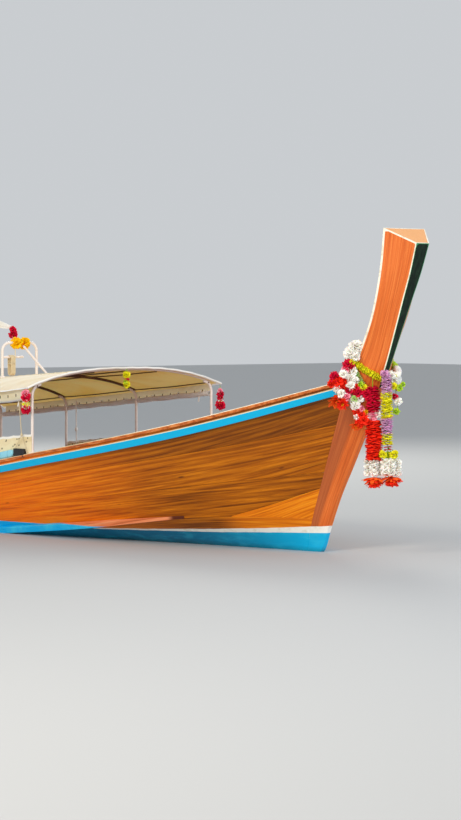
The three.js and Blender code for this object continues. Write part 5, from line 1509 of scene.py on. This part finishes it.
ROOF_FRONT, ROOF_AFT, ROOF_HALF, ROOF_CROWN, ROOF_RISE = -1.700, -4.450, 1.000, 2.010, 0.210
ROOF_ARCHES = np.array([-4.410, -3.750, -2.300, -1.740])
ROOF_POSTS = (-2.300, -3.750)
ROOF_POST_Y, UNDER_ROOF = 0.915, 0.0245
ROOF_BEND, ROOF_HANG, ROOF_HANG_TO = 0.022, 0.056, 1.785


def roof_height(y):
    """Top of the roof: the crown less its rise times the square of the distance out over the half."""
    return ROOF_CROWN - ROOF_RISE * (np.abs(y) / ROOF_HALF) ** 2


def roof_section():
    """The cover's section from aft to front: along the roof, and at each end through a quarter circle
    and down."""
    bend = np.linspace(0, np.pi / 2, 9)
    front = np.stack([ROOF_FRONT - 0.002 - ROOF_BEND + ROOF_BEND * np.sin(bend),
                      -ROOF_BEND + ROOF_BEND * np.cos(bend)], -1)
    drop = np.linspace(0, 1, 7)[1:, None] * np.array([[0.0, -ROOF_HANG]]) + front[-1]
    forward = np.concatenate([front, drop])
    aft = forward[::-1] * [-1, 1] + np.array([ROOF_FRONT + ROOF_AFT, 0])
    run = np.linspace(aft[-1, 0], front[0, 0], 110)[1:-1]
    return np.concatenate([aft, grid(run, 0.0), forward])


def build_roof_cover(white):
    """A stretched cover over four arches whose front and aft ends turn down in a rounded, scalloped
    valance, with hems along its sides."""
    section = roof_section()
    x, fall = section[:, :1], section[:, 1:]
    share = np.linspace(-1, 1, 91)[None, :]
    y = ROOF_HALF * share
    near, _ = between_bows(x, ROOF_ARCHES)
    sag = 0.006 * (1 - near ** 1.4) * ((x > ROOF_ARCHES[0]) & (x < ROOF_ARCHES[-1]))
    ripple = 0.0010 * waves_of(x * 1.3, y * 1.2, 71) * (fall > -0.01)
    scallop = 0.004 * np.abs(np.sin(share * np.pi * 9)) * np.clip(-fall / 0.07, 0, 1)
    hangs = np.clip(roof_height(y) - ROOF_HANG_TO - ROOF_BEND, 0.010, ROOF_HANG)
    fall = np.where(fall < -ROOF_BEND, -ROOF_BEND + (fall + ROOF_BEND) * hangs / ROOF_HANG, fall)
    z = roof_height(y) - 0.002 + fall - sag + ripple + scallop
    swing = 0.0022 * np.sin(share * 31) * np.clip(-fall / 0.07, 0, 1)
    outer = grid(x + swing * np.sign(x - (ROOF_FRONT + ROOF_AFT) / 2), y, z)
    along, around = arc_length(section, 0)[:, None], arc_length(outer, 1)
    tangent = unit(np.gradient(section, axis=0))[:, None]
    inner = outer + grid(tangent[..., 1], 0.0, -tangent[..., 0]) * 0.0024
    edge = np.minimum(np.minimum(along, along[-1] - along), np.minimum(around, around[:, -1:] - around))
    cover = closed_sheet("aft_roof_sheet", outer, inner, roof_finish(),
                         grid(along, around - around[:, 45:46]), {"from_edge": edge})
    settle(cover, "aft_roof_cover", slot="white_cloth")
    x = np.linspace(ROOF_AFT + 0.006, ROOF_FRONT - 0.006, 90)
    z = roof_height(1.0) - 0.003 + 0.0015 * np.sin(x * 21)
    hems = [tube(f"roof_hem_{label}", grid(x, side * (ROOF_HALF - 0.002), z), 0.0075, white, 10)
            for label, side in SIDES]
    settle(merge("aft_roof_hems", hems), slot="white_cloth")


def build_roof_frame(white):
    """Arches, three lengthwise rails and four posts on round feet, with a collar at every joint."""
    parts = []
    across = np.linspace(-1, 1, 60) * ROOF_POST_Y * 1.01
    for number, x in enumerate(ROOF_ARCHES):
        arch = grid(x, across, roof_height(across) - UNDER_ROOF)
        parts.append(tube(f"roof_arch_{number}", arch, TUBE, white))
    for side in (0, 1, -1):
        y = side * ROOF_POST_Y
        z = roof_height(y) - UNDER_ROOF - 0.006
        run = np.linspace(ROOF_ARCHES[-1] - 0.005, ROOF_ARCHES[0] + 0.005, 40)
        parts.append(tube(f"roof_rail_{side}", grid(run, y, z), TUBE, white))
        for x in ROOF_ARCHES:
            collar = grid(np.linspace(x - 0.022, x + 0.022, 4), y, z)
            parts.append(tube(f"roof_collar_{side}_{x}", collar, 0.0148, white, 16))
    for x in ROOF_POSTS:
        base = gunwale_at(x)
        for side in (1, -1):
            foot = np.array([x, side * (base[1] - 0.042), base[2] - 0.003])
            top = np.array([x, side * ROOF_POST_Y, roof_height(ROOF_POST_Y) - UNDER_ROOF])
            post = np.linspace(foot + [0, 0, 0.002], top, 30)
            parts.append(tube(f"roof_post_{x}_{side}", post, 0.0145, white, 16))
            parts.append(turned(f"roof_foot_{x}_{side}", POST_FOOT, foot, white, 24))
    settle(merge("aft_roof_tubes", parts), "aft_roof_frame", slot="white_tube")


# Seats and the inside

BENCHES = (0.700, -0.300, -1.300)
BENCH_TOP, BENCH_THICK, BENCH_HALF = 0.285, 0.030, 0.140
CUSHION_HALF, CUSHION_LENGTH, CUSHION_LOW, CUSHION_TALL = 0.790, 0.256, 0.2856, 0.055
CHANNELS, PIPING = 7, 0.0035


def box_mesh(name, x0, x1, y0, y1, z0, z1, finish):
    """A board: a closed box with rows across it every 50 mm."""
    y = np.linspace(y0, y1, max(2, int(np.ceil(abs(y1 - y0) / 0.05)) + 1))[:, None]
    offsets = np.array([0.0, x1 - x0, x1 - x0 + z1 - z0, -0.03])
    return loft(name, grid([x0, x1, x1, x0], y, [z0, z0, z1, z1]), finish, maps=grid(y, offsets), sharp=30)


def build_benches(finish):
    """Each bench is three boards with narrow gaps, rounded edges and a cleat under each end."""
    under = BENCH_TOP - BENCH_THICK
    for number, x in enumerate(BENCHES):
        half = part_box(f"bench_{number + 1}")[1].y - 0.001
        edges = np.linspace(x - BENCH_HALF, x + BENCH_HALF, 4)
        boards = [box_mesh(f"board_{number}_{k}", edges[k] + 0.002, edges[k + 1] - 0.002, -half, half,
                           under, BENCH_TOP, finish) for k in range(3)]
        for side in (1, -1):
            y = side * (half - 0.16)
            boards.append(box_mesh(f"cleat_{number}_{side}", x - 0.12, x + 0.12, y - 0.022, y + 0.022,
                                   under - 0.024, under - 0.0004, finish))
        settle(merge(f"bench_boards_{number + 1}", boards), f"bench_{number + 1}", slot="inner_wood",
               bevel=0.004, segments=3)


def cushion_start():
    """A closed pad before it swells: a flat grid under a grid with a low crown, joined at their rims."""
    y = np.linspace(-1, 1, 100)[:, None]
    x = np.linspace(-1, 1, 22)[None, :]
    crown = 0.008 * (1 - np.abs(y) ** 14) * (1 - np.abs(x) ** 6)
    x, y = x * (CUSHION_LENGTH / 2 - 0.010), y * (CUSHION_HALF - 0.014)
    return np.stack([grid(x, y, CUSHION_LOW + 0.030 + crown), grid(x, y, CUSHION_LOW + 0.006)])


def swell(obj, most):
    """Cloth under pressure, stepped twenty times; no point ends further than the cap from its start."""
    start = np.array([v.co for v in obj.data.vertices])
    modifier = obj.modifiers.new("cloth", "CLOTH")
    cloth = modifier.settings
    cloth.use_pressure = True
    cloth.uniform_pressure_force = 4.0
    cloth.quality = 5
    cloth.mass = 0.3
    cloth.tension_stiffness = cloth.compression_stiffness = 12
    cloth.bending_stiffness = 0.5
    cloth.effector_weights.gravity = 0
    modifier.point_cache.frame_start, modifier.point_cache.frame_end = 1, 20
    for number in range(1, 21):
        bpy.context.scene.frame_set(number)
    shape = obj.evaluated_get(bpy.context.evaluated_depsgraph_get()).to_mesh()
    move = np.array([v.co for v in shape.vertices]) - start
    obj.modifiers.remove(modifier)
    bpy.context.scene.frame_set(1)
    size = np.linalg.norm(move, axis=1)[:, None]
    return start + move * np.minimum(1, most / np.maximum(size, 1e-9))


def cushion_mesh():
    """One seat pad round X = 0, as points and faces: made even by a remesh, then swollen."""
    obj = make_mesh("pad_start", cushion_start(), shell_faces(100, 22), None, sharp=180)
    remesh = obj.modifiers.new("remesh", "REMESH")
    remesh.mode = "VOXEL"
    remesh.voxel_size = 0.006
    shape = bpy.data.meshes.new_from_object(obj.evaluated_get(bpy.context.evaluated_depsgraph_get()))
    obj.modifiers.clear()
    obj.data = shape
    end = swell(obj, 0.016)
    quads = np.array([list(p.vertices) for p in shape.polygons])
    bpy.data.objects.remove(obj)
    return end, quads


def piping_lines(shape, quads, room):
    """Two closed lines round a pad, each drawn onto its skin from a box with rounded corners."""
    tree = BVHTree.FromPolygons(shape.tolist(), quads.tolist())
    turn = np.linspace(0, 2 * np.pi, 160, endpoint=False)
    along, across = superellipse(turn, 1 / 8)[0], superellipse(turn, 1 / 13)[1]
    for height in (0.036, 0.010):
        around = grid(room[0] * along, room[1] * across, CUSHION_LOW + height)
        line = np.array([tree.find_nearest(Vector(p))[0] for p in around])
        line = (np.roll(line, 1, 0) + line * 2 + np.roll(line, -1, 0)) / 4
        yield np.concatenate([line, line[:1]])


def build_cushions():
    """Seat pads of light blue vinyl: swollen by pressure, drawn down along sewn channels, flat
    underneath, with a piped seam round the top and bottom."""
    vinyl = vinyl_finish("seat_vinyl", (150, 206, 232), (96, 164, 200))
    piping = vinyl_finish("seat_piping", (244, 244, 238), (214, 212, 202))
    shape, quads = cushion_mesh()
    low, high = shape.min(0), shape.max(0)
    room = np.array([CUSHION_LENGTH / 2, CUSHION_HALF])
    shape = shape * [*((room - 0.004) / np.maximum(high[:2], -low[:2])), 1]
    height = (shape[:, 2] - low[2]) / (high[2] - low[2])
    out = np.abs(shape[:, :2]) / room
    crown = np.clip((1 - out[:, 0] ** 3) * (1 - out[:, 1] ** 24), 0, 1)
    seams = np.linspace(-1, 1, CHANNELS + 1)[1:-1] * CUSHION_HALF
    near = np.min(np.abs(shape[:, 1][:, None] - seams[None, :]), axis=1)
    dip = 0.0085 * np.exp(-near / 0.010) + 0.0035 * np.exp(-near / 0.030)
    foot = CUSHION_LOW + 0.0004
    z = foot + height * (CUSHION_TALL - 0.010 + 0.009 * crown)
    z = z - np.where(height > 0.5, dip * (height - 0.5) * 2, 0) * np.clip(crown * 3, 0, 1)
    shape[:, 2] = np.where(height < 0.06, foot, z)
    lines = list(piping_lines(shape, quads, room))
    for number, x in enumerate(BENCHES):
        pad = make_mesh(f"seat_pad_{number + 1}", shape + [x, 0, 0], quads, vinyl, sharp=180,
                        attributes={"seam": np.exp(-near / 0.004)})
        settle(pad, f"bench_cushion_{number + 1}", slot="seat_cloth")
        rims = [tube(f"rim_{k}_{number}", line + [x, 0, 0], PIPING, piping, 8)
                for k, line in enumerate(lines)]
        settle(merge(f"seat_piping_{number + 1}", rims), slot="seat_cloth")


# Ends of the floorboards along the boat, and each board's underside, top, width and gap to the next
BOARDS_AFT, BOARDS_FRONT = -4.450, 2.700
BOARD_LOW, BOARD_TOP, BOARD_WIDE, BOARD_GAP = -0.060, -0.040, 0.118, 0.005


def build_floor_boards():
    """Loose boards laid lengthwise over the frames with open joints, each cut to the hull's width and
    butted in two places, with its own tone."""
    finish = board_finish("floor_board", ((214, 168, 118), (178, 126, 80), (118, 78, 48)))
    step = BOARD_WIDE + BOARD_GAP
    rows = int(2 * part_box("floorboards")[1].y / step)
    boards = []
    stations = np.linspace(BOARDS_AFT, BOARDS_FRONT, 60)
    reach = floor_half(stations)
    for k in range(rows + 1):
        middle = (k - rows / 2) * step
        y0, y1 = middle - BOARD_WIDE / 2, middle + BOARD_WIDE / 2
        fits = reach > max(abs(y0), abs(y1)) - BOARD_WIDE * 0.62
        if fits.sum() < 4:
            continue
        x, bound = stations[fits], reach[fits]
        cut = x[0] + (x[-1] - x[0]) * (0.34 + 0.28 * ((k * 0.618) % 1))
        for part, keep in enumerate((x < cut, x >= cut)):
            if keep.sum() < 3:
                continue
            run, most = x[keep], bound[keep]
            run[0 if part else -1] = cut + 0.004 * part
            left = np.clip(y0, -most, most)
            right = left + np.maximum(np.clip(y1, -most, most) - left, 0.012)
            tone = (k * 0.37 + part * 0.21) % 1
            boards.append(floor_board(f"floor_board_{k}_{part}", run[:, None], left, right, tone, finish))
    settle(merge("floor_boards", boards), "floorboards", slot="inner_wood", bevel=0.003)


def floor_half(x):
    """Half the hull's inner width at the boards' underside, clear of the frames, for many places."""
    inner = hull_at_x(x[:, None], np.linspace(0.05, 0.62, 40)[None, :], 0.074)
    return np.array([np.interp(BOARD_LOW, row[:, 2], row[:, 1]) for row in inner])


def floor_board(name, x, left, right, tone, finish):
    """One board between its left and right edges, given at each place along it."""
    ring = grid(x, np.stack([left, right, right, left], -1), [BOARD_LOW, BOARD_LOW, BOARD_TOP, BOARD_TOP])
    map_ = grid(x + 9 * tone, np.array([0.0, 0.12, 0.14, 0.26]) + 3 * tone)
    # here the attribute carries each board's own tone, not shade
    shade = {"painted_shade_and_board_tone": np.full(ring.shape[:2], tone)}
    return loft(name, ring, finish, maps=map_, sharp=30, attributes=shade)


def dress(finish, *nodes):
    """Puts a finish in every material slot of some CAD nodes."""
    for node in nodes:
        mesh = NODES[node].data
        if not mesh.materials:
            mesh.materials.append(finish)
        for index in range(len(mesh.materials)):
            mesh.materials[index] = finish


def finish_inside():
    """Timber finishes on the CAD pieces whose shape is right."""
    dress(wood_finish("frame_wood", ((206, 142, 90), (168, 100, 56), (104, 60, 34)), 0.55, 0.12, 0.3),
          "aft_frames", "amidships_frames", "bow_frames")
    dress(wood_finish("riser_wood", ((224, 170, 118), (188, 128, 80), (124, 80, 48)), 0.5, 0.2, 0.35),
          "bench_riser_port", "bench_riser_starboard", "engine_bed")
    dress(deck_finish("foredeck_boards", ((226, 150, 88), (192, 108, 52), (128, 66, 32)), 0.110), "foredeck")
    dress(deck_finish("aft_deck_boards", ((212, 150, 98), (176, 112, 64), (116, 70, 40)), 0.120), "aft_deck")
    dress(deck_finish("bulkhead_boards", ((226, 160, 104), (192, 122, 70), (128, 76, 42)), 0.090),
          "foredeck_bulkhead")
    dress(transom_finish(), "transom")
    dress(paint_finish("keel_paint", (10, 104, 164), (44, 132, 170), 0.45, (70, 96, 84), 0.25), "keel")


# Engine and tail

PIVOT = np.array([-4.850, 0.0, 1.000])
TAIL_ANGLE = np.radians(17.7)
SHAFT_Z = 0.044
FILTER_X, FILTER_Y, BOLT_CIRCLE = 0.120, -0.220, 0.104

# Turned details: radius and height in millimetres
CORE_PLUG, PUMP, OIL_CAP, BELL_FLANGE, CRANK_BOLT, MUFFLER_BAND = (np.array(rows) / 1000 for rows in (
    [[0, 0], [21, 0], [21, -3], [17, -3], [15, -1], [0, -1]],
    [[0, 0], [30, 0], [34, 6], [34, 60], [28, 66], [0, 66]],
    [[0, 0], [20, 0], [24, 4], [24, 14], [18, 20], [0, 20]],
    [[132, 0], [150, 0], [150, 12], [132, 12]],
    [[0, 0], [20, 0], [20, 4], [13, 5], [11, 14], [0, 14]],
    [[52.3, 0], [56, 1], [56, 11], [52.3, 12]]))
FILTER_LIP, FILTER_KNOB, SHAFT_COLLAR, GREASE_NIPPLE, GRIP_RIB, KNOT = (np.array(rows) / 1000 for rows in (
    [[66.2, 0], [69, 1], [69, 6], [66.2, 7]],
    [[0, 0], [10, 0], [16, 4], [16, 10], [10, 16], [0, 16]],
    [[0, 0], [30, 0], [32, 4], [32, 30], [30, 34], [0, 34]],
    [[0, 0], [6, 0], [6, 10], [4, 14], [0, 14]],
    [[24.5, 0], [27.2, 3], [27.2, 8], [24.5, 11]],
    [[0, -16], [8, -13], [11, -4], [10, 6], [6, 14], [0, 16]]))


def settle_on_tail(name, parts, slot, bevel=0.0):
    """Joins parts built on the tail's own axes, turns them down about the pivot and sets them there."""
    obj = merge(name, parts)
    obj.data.transform(Matrix.Translation(Vector(PIVOT.tolist())) @ Matrix.Rotation(-TAIL_ANGLE, 4, "Y"))
    settle(obj, body="tail", slot=slot, bevel=bevel)


def hex_bolt(name, middle, finish, size=0.010, tall=0.007, axis="Z"):
    """A chamfered six-sided head on a round washer."""
    profile = [[0.0, 0.0], [size * 1.35, 0.0], [size * 1.35, 0.0018], [size, 0.0018], [size, tall * 0.85],
               [size * 0.86, tall], [0.0, tall]]
    return turned(name, profile, middle, finish, 6, 20, axis)


def bolt_rows(name, places_x, places_y, z, finish, size, tall):
    """A bolt at each crossing of the places."""
    return [hex_bolt(f"{name}_{x}_{y}", (x, y, z), finish, size, tall) for x in places_x for y in places_y]


def rounded_plate(name, x0, x1, y0, y1, z0, z1, finish, corner=0.02, sides=6):
    """A plate with rounded corners, seen from above."""
    turn = np.linspace(0, np.pi / 2, sides) + np.arange(4)[:, None] * np.pi / 2
    x0, x1, y0, y1 = x0 + corner, x1 - corner, y0 + corner, y1 - corner
    middles = np.array([[x1, y1], [x0, y1], [x0, y0], [x1, y0]])[:, None]
    ring = (middles + grid(np.cos(turn), np.sin(turn)) * corner).reshape(-1, 2)
    return loft(name, grid(ring[:, 0], ring[:, 1], [[z0], [z1]]), finish, sharp=30)


def build_engine(paint, iron, steel, black):
    """Details on the engine block, head, sump and bell housing: ribs, covers, bolts, core plugs and pipes."""
    parts = []
    for k, x in enumerate(np.linspace(-0.12, 0.36, 9)):
        for side in (1, -1):
            low, high = sorted((side * 0.1507, side * 0.1570))
            parts.append(rounded_plate(f"block_rib_{k}_{side}", x - 0.004, x + 0.004, low, high, 0.030, 0.225,
                                       paint, 0.002, 3))
    cylinders = (-0.06, 0.06, 0.18, 0.30)
    for k, x in enumerate(cylinders):
        parts.append(turned(f"core_plug_{k}", CORE_PLUG, (x + 0.03, -0.1507, 0.140), steel, 24, 30, "Y"))
    parts += bolt_rows("mount_bolt", (-0.100, 0.330), (-0.170, 0.170), 0.0302, steel, 0.011, 0.009)
    settle_on_tail("block_details", parts, "engine_paint", 0.0012)
    head = [rounded_plate("rocker_cover", -0.098, 0.338, -0.068, 0.068, 0.4302, 0.4400, paint)]
    along = np.linspace(-0.105, 0.345, 7)
    head += bolt_rows("head_bolt", along, (-0.084, 0.084), 0.3722, steel, 0.009, 0.009)
    for k, x in enumerate(cylinders):
        low = 0.02 * k + 0.02
        pipe = smooth_path([[x, -0.060, 0.398], [x, -0.105, 0.402], [x - 0.02, -0.150, 0.350],
                            [low, -0.165, 0.265], [low, -0.168, 0.220]], 26)
        head.append(tube(f"injector_pipe_{k}", pipe, 0.0035, steel, 8))
    head.append(turned("injection_pump", PUMP, (0.050, -0.178, 0.160), iron, 24, 30))
    head.append(turned("oil_filler_cap", OIL_CAP, (0.230, 0.0, 0.4402), black, 20, 30))
    settle_on_tail("head_details", head, "cast_iron", 0.0010)
    flange = turned("bell_flange", BELL_FLANGE, (-0.1732, 0, 0.150), iron, 48, 30, "X", closed=True)
    sump = bolt_rows("sump_bolt", np.linspace(0.105, 0.345, 5), (-0.104, 0.104), -0.012, steel, 0.007, 0.006)
    settle_on_tail("flange_details", [flange] + sump, "cast_iron")


def build_belts(black, steel):
    """A belt round the two pulleys in its grooves, the crank bolt and the fan's hub bolts."""
    low, high, r_low, r_high = 0.090, 0.190, 0.0785, 0.0405
    lean = np.arcsin((r_low - r_high) / (high - low))
    first = np.linspace(np.pi - lean, 2 * np.pi + lean, 40)
    second = np.linspace(lean, np.pi - lean, 24)
    turn = np.concatenate([first, second])[:, None]
    below = np.arange(64)[:, None] < 40
    section = [(-0.0060, 0.0), (-0.0045, -0.0005), (0.0045, -0.0005), (0.0060, 0.0), (0.0060, 0.0060),
               (-0.0060, 0.0060)]
    across, rise = np.array(section).T
    radius = np.where(below, r_low, r_high) + rise + 0.001
    ring = grid(0.426 + across, radius * np.cos(turn), np.where(below, low, high) + radius * np.sin(turn))
    parts = [closed_loft("fan_belt", ring, black, sharp=30),
             turned("crank_bolt", CRANK_BOLT, (0.4522, 0.0, 0.090), steel, 6, 20, "X"),
             turned("fan_bolt", CRANK_BOLT * 0.8, (0.4802, 0.0, 0.190), steel, 6, 20, "X")]
    settle_on_tail("belt_drive", parts, "steel")


def build_pipes(black, rust, steel):
    """The exhaust's bands and flanges, the air filter's clips, the shaft's collars with their grease
    nipples, and the ribs of the tiller's grip."""
    parts = [turned(f"muffler_band_{z}", MUFFLER_BAND, (-0.175, 0.180, z), steel, 40, 30, closed=True)
             for z in (0.440, 0.600)]
    for k, x in enumerate(np.linspace(-0.05, 0.29, 4)):
        parts.append(rounded_plate(f"manifold_flange_{k}", x - 0.026, x + 0.026, 0.1955, 0.2035, 0.228, 0.286,
                                   rust, 0.002, 3))
        parts.append(hex_bolt(f"manifold_bolt_{k}", (x, 0.2040, 0.257), steel, 0.007, 0.007, "Y"))
    settle_on_tail("exhaust_details", parts, "cast_iron", 0.0010)
    clips = [turned(f"filter_lip_{z}", FILTER_LIP, (FILTER_X, FILTER_Y, z), black, 40, 30, closed=True)
             for z in (0.290, 0.405)]
    clips.append(turned("filter_knob", FILTER_KNOB, (FILTER_X, FILTER_Y, 0.4462), steel, 16, 30))
    settle_on_tail("filter_details", clips, "cast_iron")
    shaft = [turned(f"shaft_collar_{k}", SHAFT_COLLAR * [0.95, 0.7], (x, 0, SHAFT_Z), steel, 28, 30, "X")
             for k, x in enumerate((-0.560, -1.600, -2.650, -3.812))]
    shaft += [turned(f"grease_nipple_{k}", GREASE_NIPPLE, (x, 0, SHAFT_Z + 0.030), steel, 12, 30)
              for k, x in enumerate((-1.588, -2.638))]
    settle_on_tail("shaft_details", shaft, "steel")
    places = [(x, 0, -0.0546 - (x - 1.06) * 0.05) for x in 1.072 + np.arange(12) * 0.0155]
    grip = [turned(f"grip_rib_{k}", GRIP_RIB, place, black, 28, 60, "X", closed=True)
            for k, place in enumerate(places)]
    settle_on_tail("tiller_grip_ribs", grip, "cast_iron")


def finish_engine():
    """Finishes on the CAD pieces of the engine, its mount, the tail and the tank, with their details."""
    paint = metal_finish("engine_enamel", (42, 106, 146), (28, 74, 108), 0.0, 0.42, 0.55)
    iron = metal_finish("cast_iron", (92, 92, 92), (56, 54, 52), 0.6, 0.6, 0.45)
    steel = metal_finish("galvanised", (176, 180, 182), (132, 136, 138), 0.85, 0.42, 0.25)
    rust = metal_finish("rusty_pipe", (128, 84, 58), (86, 52, 38), 0.4, 0.75, 0.8)
    black = metal_finish("black_rubber", (34, 34, 36), (22, 22, 24), 0.0, 0.7, 0.05)
    bronze = metal_finish("propeller_bronze", (186, 142, 74), (140, 106, 56), 0.9, 0.32, 0.12)
    dress(paint, "engine_block", "oil_sump")
    dress(iron, "cylinder_head", "bell_housing", "front_pulley")
    dress(steel, "tilt_cradle", "swivel_yoke", "shaft_tube")
    dress(rust, "exhaust")
    dress(black, "air_filter")
    dress(bronze, "propeller")
    dress(tank_finish(), "fuel_tank")
    build_engine(paint, iron, steel, black)
    build_belts(black, steel)
    build_pipes(black, rust, steel)
    around = np.arange(8) * np.pi / 4
    places = grid(PIVOT[0] + BOLT_CIRCLE * np.cos(around), BOLT_CIRCLE * np.sin(around), 0.8282)
    bolts = [hex_bolt(f"bed_bolt_{k}", place, steel, 0.009, 0.006) for k, place in enumerate(places)]
    settle(merge("turntable_bolts", bolts), body="engine_yoke", slot="steel", bevel=0.0008)
    feet = bolt_rows("bed_foot", (-4.965, -4.725), (-0.165, 0.165), 0.6202, steel, 0.012, 0.009)
    settle(merge("bed_bolts", feet), slot="steel", bevel=0.0008)


# Small things by the canopy

def build_rail_pad():
    """A light blue pad on the rail: a rounded roll with pulled-in ends and two sewn rings."""
    x = np.linspace(0.905, 1.155, 70)[:, None]
    way = np.linspace(-1, 1, 70)[:, None]
    size = (1 - np.abs(way) ** 9) ** 0.5 * (1 - 0.14 * np.exp(-((np.abs(way) - 0.45) / 0.03) ** 2))
    size = np.maximum(size, 0.04)
    across, rise = superellipse(np.linspace(0, 2 * np.pi, 28, endpoint=False), 0.75)
    ring = grid(x, -1.0435 + 0.0200 * size * across, gunwale_at(x)[..., 2] + 0.034 + 0.0330 * size * rise)
    finish = vinyl_finish("rail_pad_vinyl", (146, 216, 238), (104, 186, 216))
    seam = np.exp(-((np.abs(way) - 0.45) / 0.02) ** 2) * np.ones(28)
    pad = loft("rail_pad", ring, finish, sharp=60, attributes={"seam": seam})
    settle(pad, slot="seat_cloth")


def build_side_line(white):
    """A thin taut line from the canopy's front corner to two legs that hold a small black box, beside
    a light blue pad on the rail, and a knotted strap drawn tight from the far eave to the rail."""
    finish = rope_finish()
    top, fork = np.array([1.245, -1.048, 1.180]), np.array([1.280, -1.046, 0.885])
    deck = float(gunwale_at(1.25)[2])
    legs = [[1.185, -1.046, deck + 0.056], [1.352, -1.040, float(gunwale_at(1.352)[2]) + 0.002]]
    parts = [tube("line_top", np.linspace(top, fork, 12), 0.0040, finish, 8)]
    for k, leg in enumerate(legs):
        parts.append(tube(f"line_leg_{k}", np.linspace(fork, leg, 10), 0.0028, finish, 8))
    parts.append(turned("line_knot", KNOT, fork, finish, 14, 60))
    settle(merge("taut_line", parts), slot="rope")
    black = metal_finish("box_plastic", (30, 30, 34), (20, 20, 22), 0.0, 0.5, 0.0)
    box = rounded_plate("line_box", 1.168, 1.318, -1.0580, -1.0225, deck - 0.010, deck + 0.058,
                        black, 0.006, 4)
    settle(box, slot="cast_iron", bevel=0.003, segments=3)
    build_rail_pad()
    x, y = -0.670, 0.990
    strap = [tube("far_strap", np.linspace([x, y, 1.085], [x, y + 0.004, 0.590], 12), 0.0065, white, 10),
             turned("far_strap_knot", KNOT * 1.4, (x, y + 0.002, 0.812), white, 14, 60)]
    settle(merge("tight_strap", strap), slot="white_cloth")


# Room

FLOOR_HALF, FLOOR_COLOUR = 60.0, (188, 190, 191)
SKY_COLOUR, SKY_STRENGTH = (236, 240, 244), 0.70

# Columns: name, place, point it faces, size, watts, colour
LIGHTS = [
    ("key", (9.0, -13.0, 9.0), (1.5, 0, 0.8), 5.0, 1150, (255, 244, 228)),
    ("front", (17.0, -16.0, 1.6), (1.5, 0, 1.0), 5.0, 1000, (255, 246, 232)),
    ("fill", (16.0, 4.0, 6.0), (2.5, 0, 0.8), 6.0, 700, (226, 238, 255)),
    ("back", (-9.0, 8.0, 9.0), (0, 0, 0.8), 6.0, 900, (255, 250, 240)),
]


def waterline():
    """Points x and y of the hull's outline at the waterline, midway through its planks: the height
    along each girth is interpolated at zero."""
    points = hull(np.linspace(0, 1, 160)[:, None], np.linspace(0, 0.9, 150)[None, :], PLANK / 2)
    line = np.array([[np.interp(0.0, row[:, 2], row[:, k]) for k in (0, 1)] for row in points])
    return np.concatenate([[line[0] - [0.020, 0.0]], line])


def build_room():
    """A pale floor at the waterline, open inside the hull, and soft studio light."""
    line = waterline()
    count = len(line)
    points, faces = [], []
    for side in (1, -1):
        start = len(points)
        points += [(x, side * y, 0) for x, y in line] + [(x, side * FLOOR_HALF, 0) for x, _ in line]
        strip = [[k, k + 1, count + k + 1, count + k] for k in range(start, start + count - 1)]
        faces += strip if side < 0 else [face[::-1] for face in strip]
    for x, far in ((line[0, 0], -FLOOR_HALF), (line[-1, 0], FLOOR_HALF)):
        start = len(points)
        low, high = sorted((x, far))
        points += [(low, -FLOOR_HALF, 0), (high, -FLOOR_HALF, 0), (high, FLOOR_HALF, 0), (low, FLOOR_HALF, 0)]
        faces.append([start, start + 1, start + 2, start + 3])
    mesh = bpy.data.meshes.new("floor")
    mesh.from_pydata(points, [], faces)
    floor = bpy.data.objects.new("floor", mesh)
    bpy.context.scene.collection.objects.link(floor)
    paint = Finish("floor", Base_Color=FLOOR_COLOUR, Roughness=0.8, Specular_IOR_Level=0.2)
    mesh.materials.append(paint.material)
    world = bpy.data.worlds.new("studio")
    bpy.context.scene.world = world
    world.use_nodes = True
    sky = world.node_tree.nodes["Background"]
    sky.inputs["Color"].default_value = srgb(SKY_COLOUR)
    sky.inputs["Strength"].default_value = SKY_STRENGTH
    for name, place, target, size, watts, colour in LIGHTS:
        data = bpy.data.lights.new(name, "AREA")
        data.size = size
        data.energy = watts
        data.color = srgb(colour)[:3]
        lamp = bpy.data.objects.new(name, data)
        bpy.context.scene.collection.objects.link(lamp)
        lamp.location = place
        lamp.rotation_mode = "QUATERNION"
        lamp.rotation_quaternion = (Vector(target) - Vector(place)).to_track_quat("-Z", "Y")


aim_camera()
bpy.context.scene.view_settings.view_transform = "Standard"
build_room()
build_hull_planks()
build_gunwales()
build_stem()
white_paint = paint_finish("tube_paint", (238, 228, 220), (214, 196, 184), 0.38, (140, 76, 44), 0.2)
# dark brown for the bows and battens: painted shade under the canopy
painted_shade_bows = wood_finish("bow_painted_shade", ((128, 84, 52), (96, 60, 36), (58, 36, 24)), 0.5, 0.2, 0.15)
white_tape = tape_finish()
cover, cover_width = build_canopy_cover()
build_canopy_frame(white_paint, painted_shade_bows)
build_canopy_trim(white_tape)
build_curtains(white_tape)
dodger_cloth = dodger_finish()
weather_cloth("starboard", -1, -1.950, 1.385, dodger_cloth)
weather_cloth("port", 1, -0.845, 1.385, dodger_cloth)
build_hoop(white_paint)
build_hank()
petals = {name: petal_finish(name, *tones) for name, tones in PETAL_COLOURS.items()}
build_prow_garland(petals)
build_small_garlands(petals)
build_roof_frame(white_paint)
build_roof_cover(white_tape)
build_benches(wood_finish("bench_wood", ((222, 170, 120), (186, 128, 80), (122, 80, 50)), 0.5, 0.2, 0.3))
build_cushions()
build_floor_boards()
finish_inside()
finish_engine()
build_side_line(white_tape)
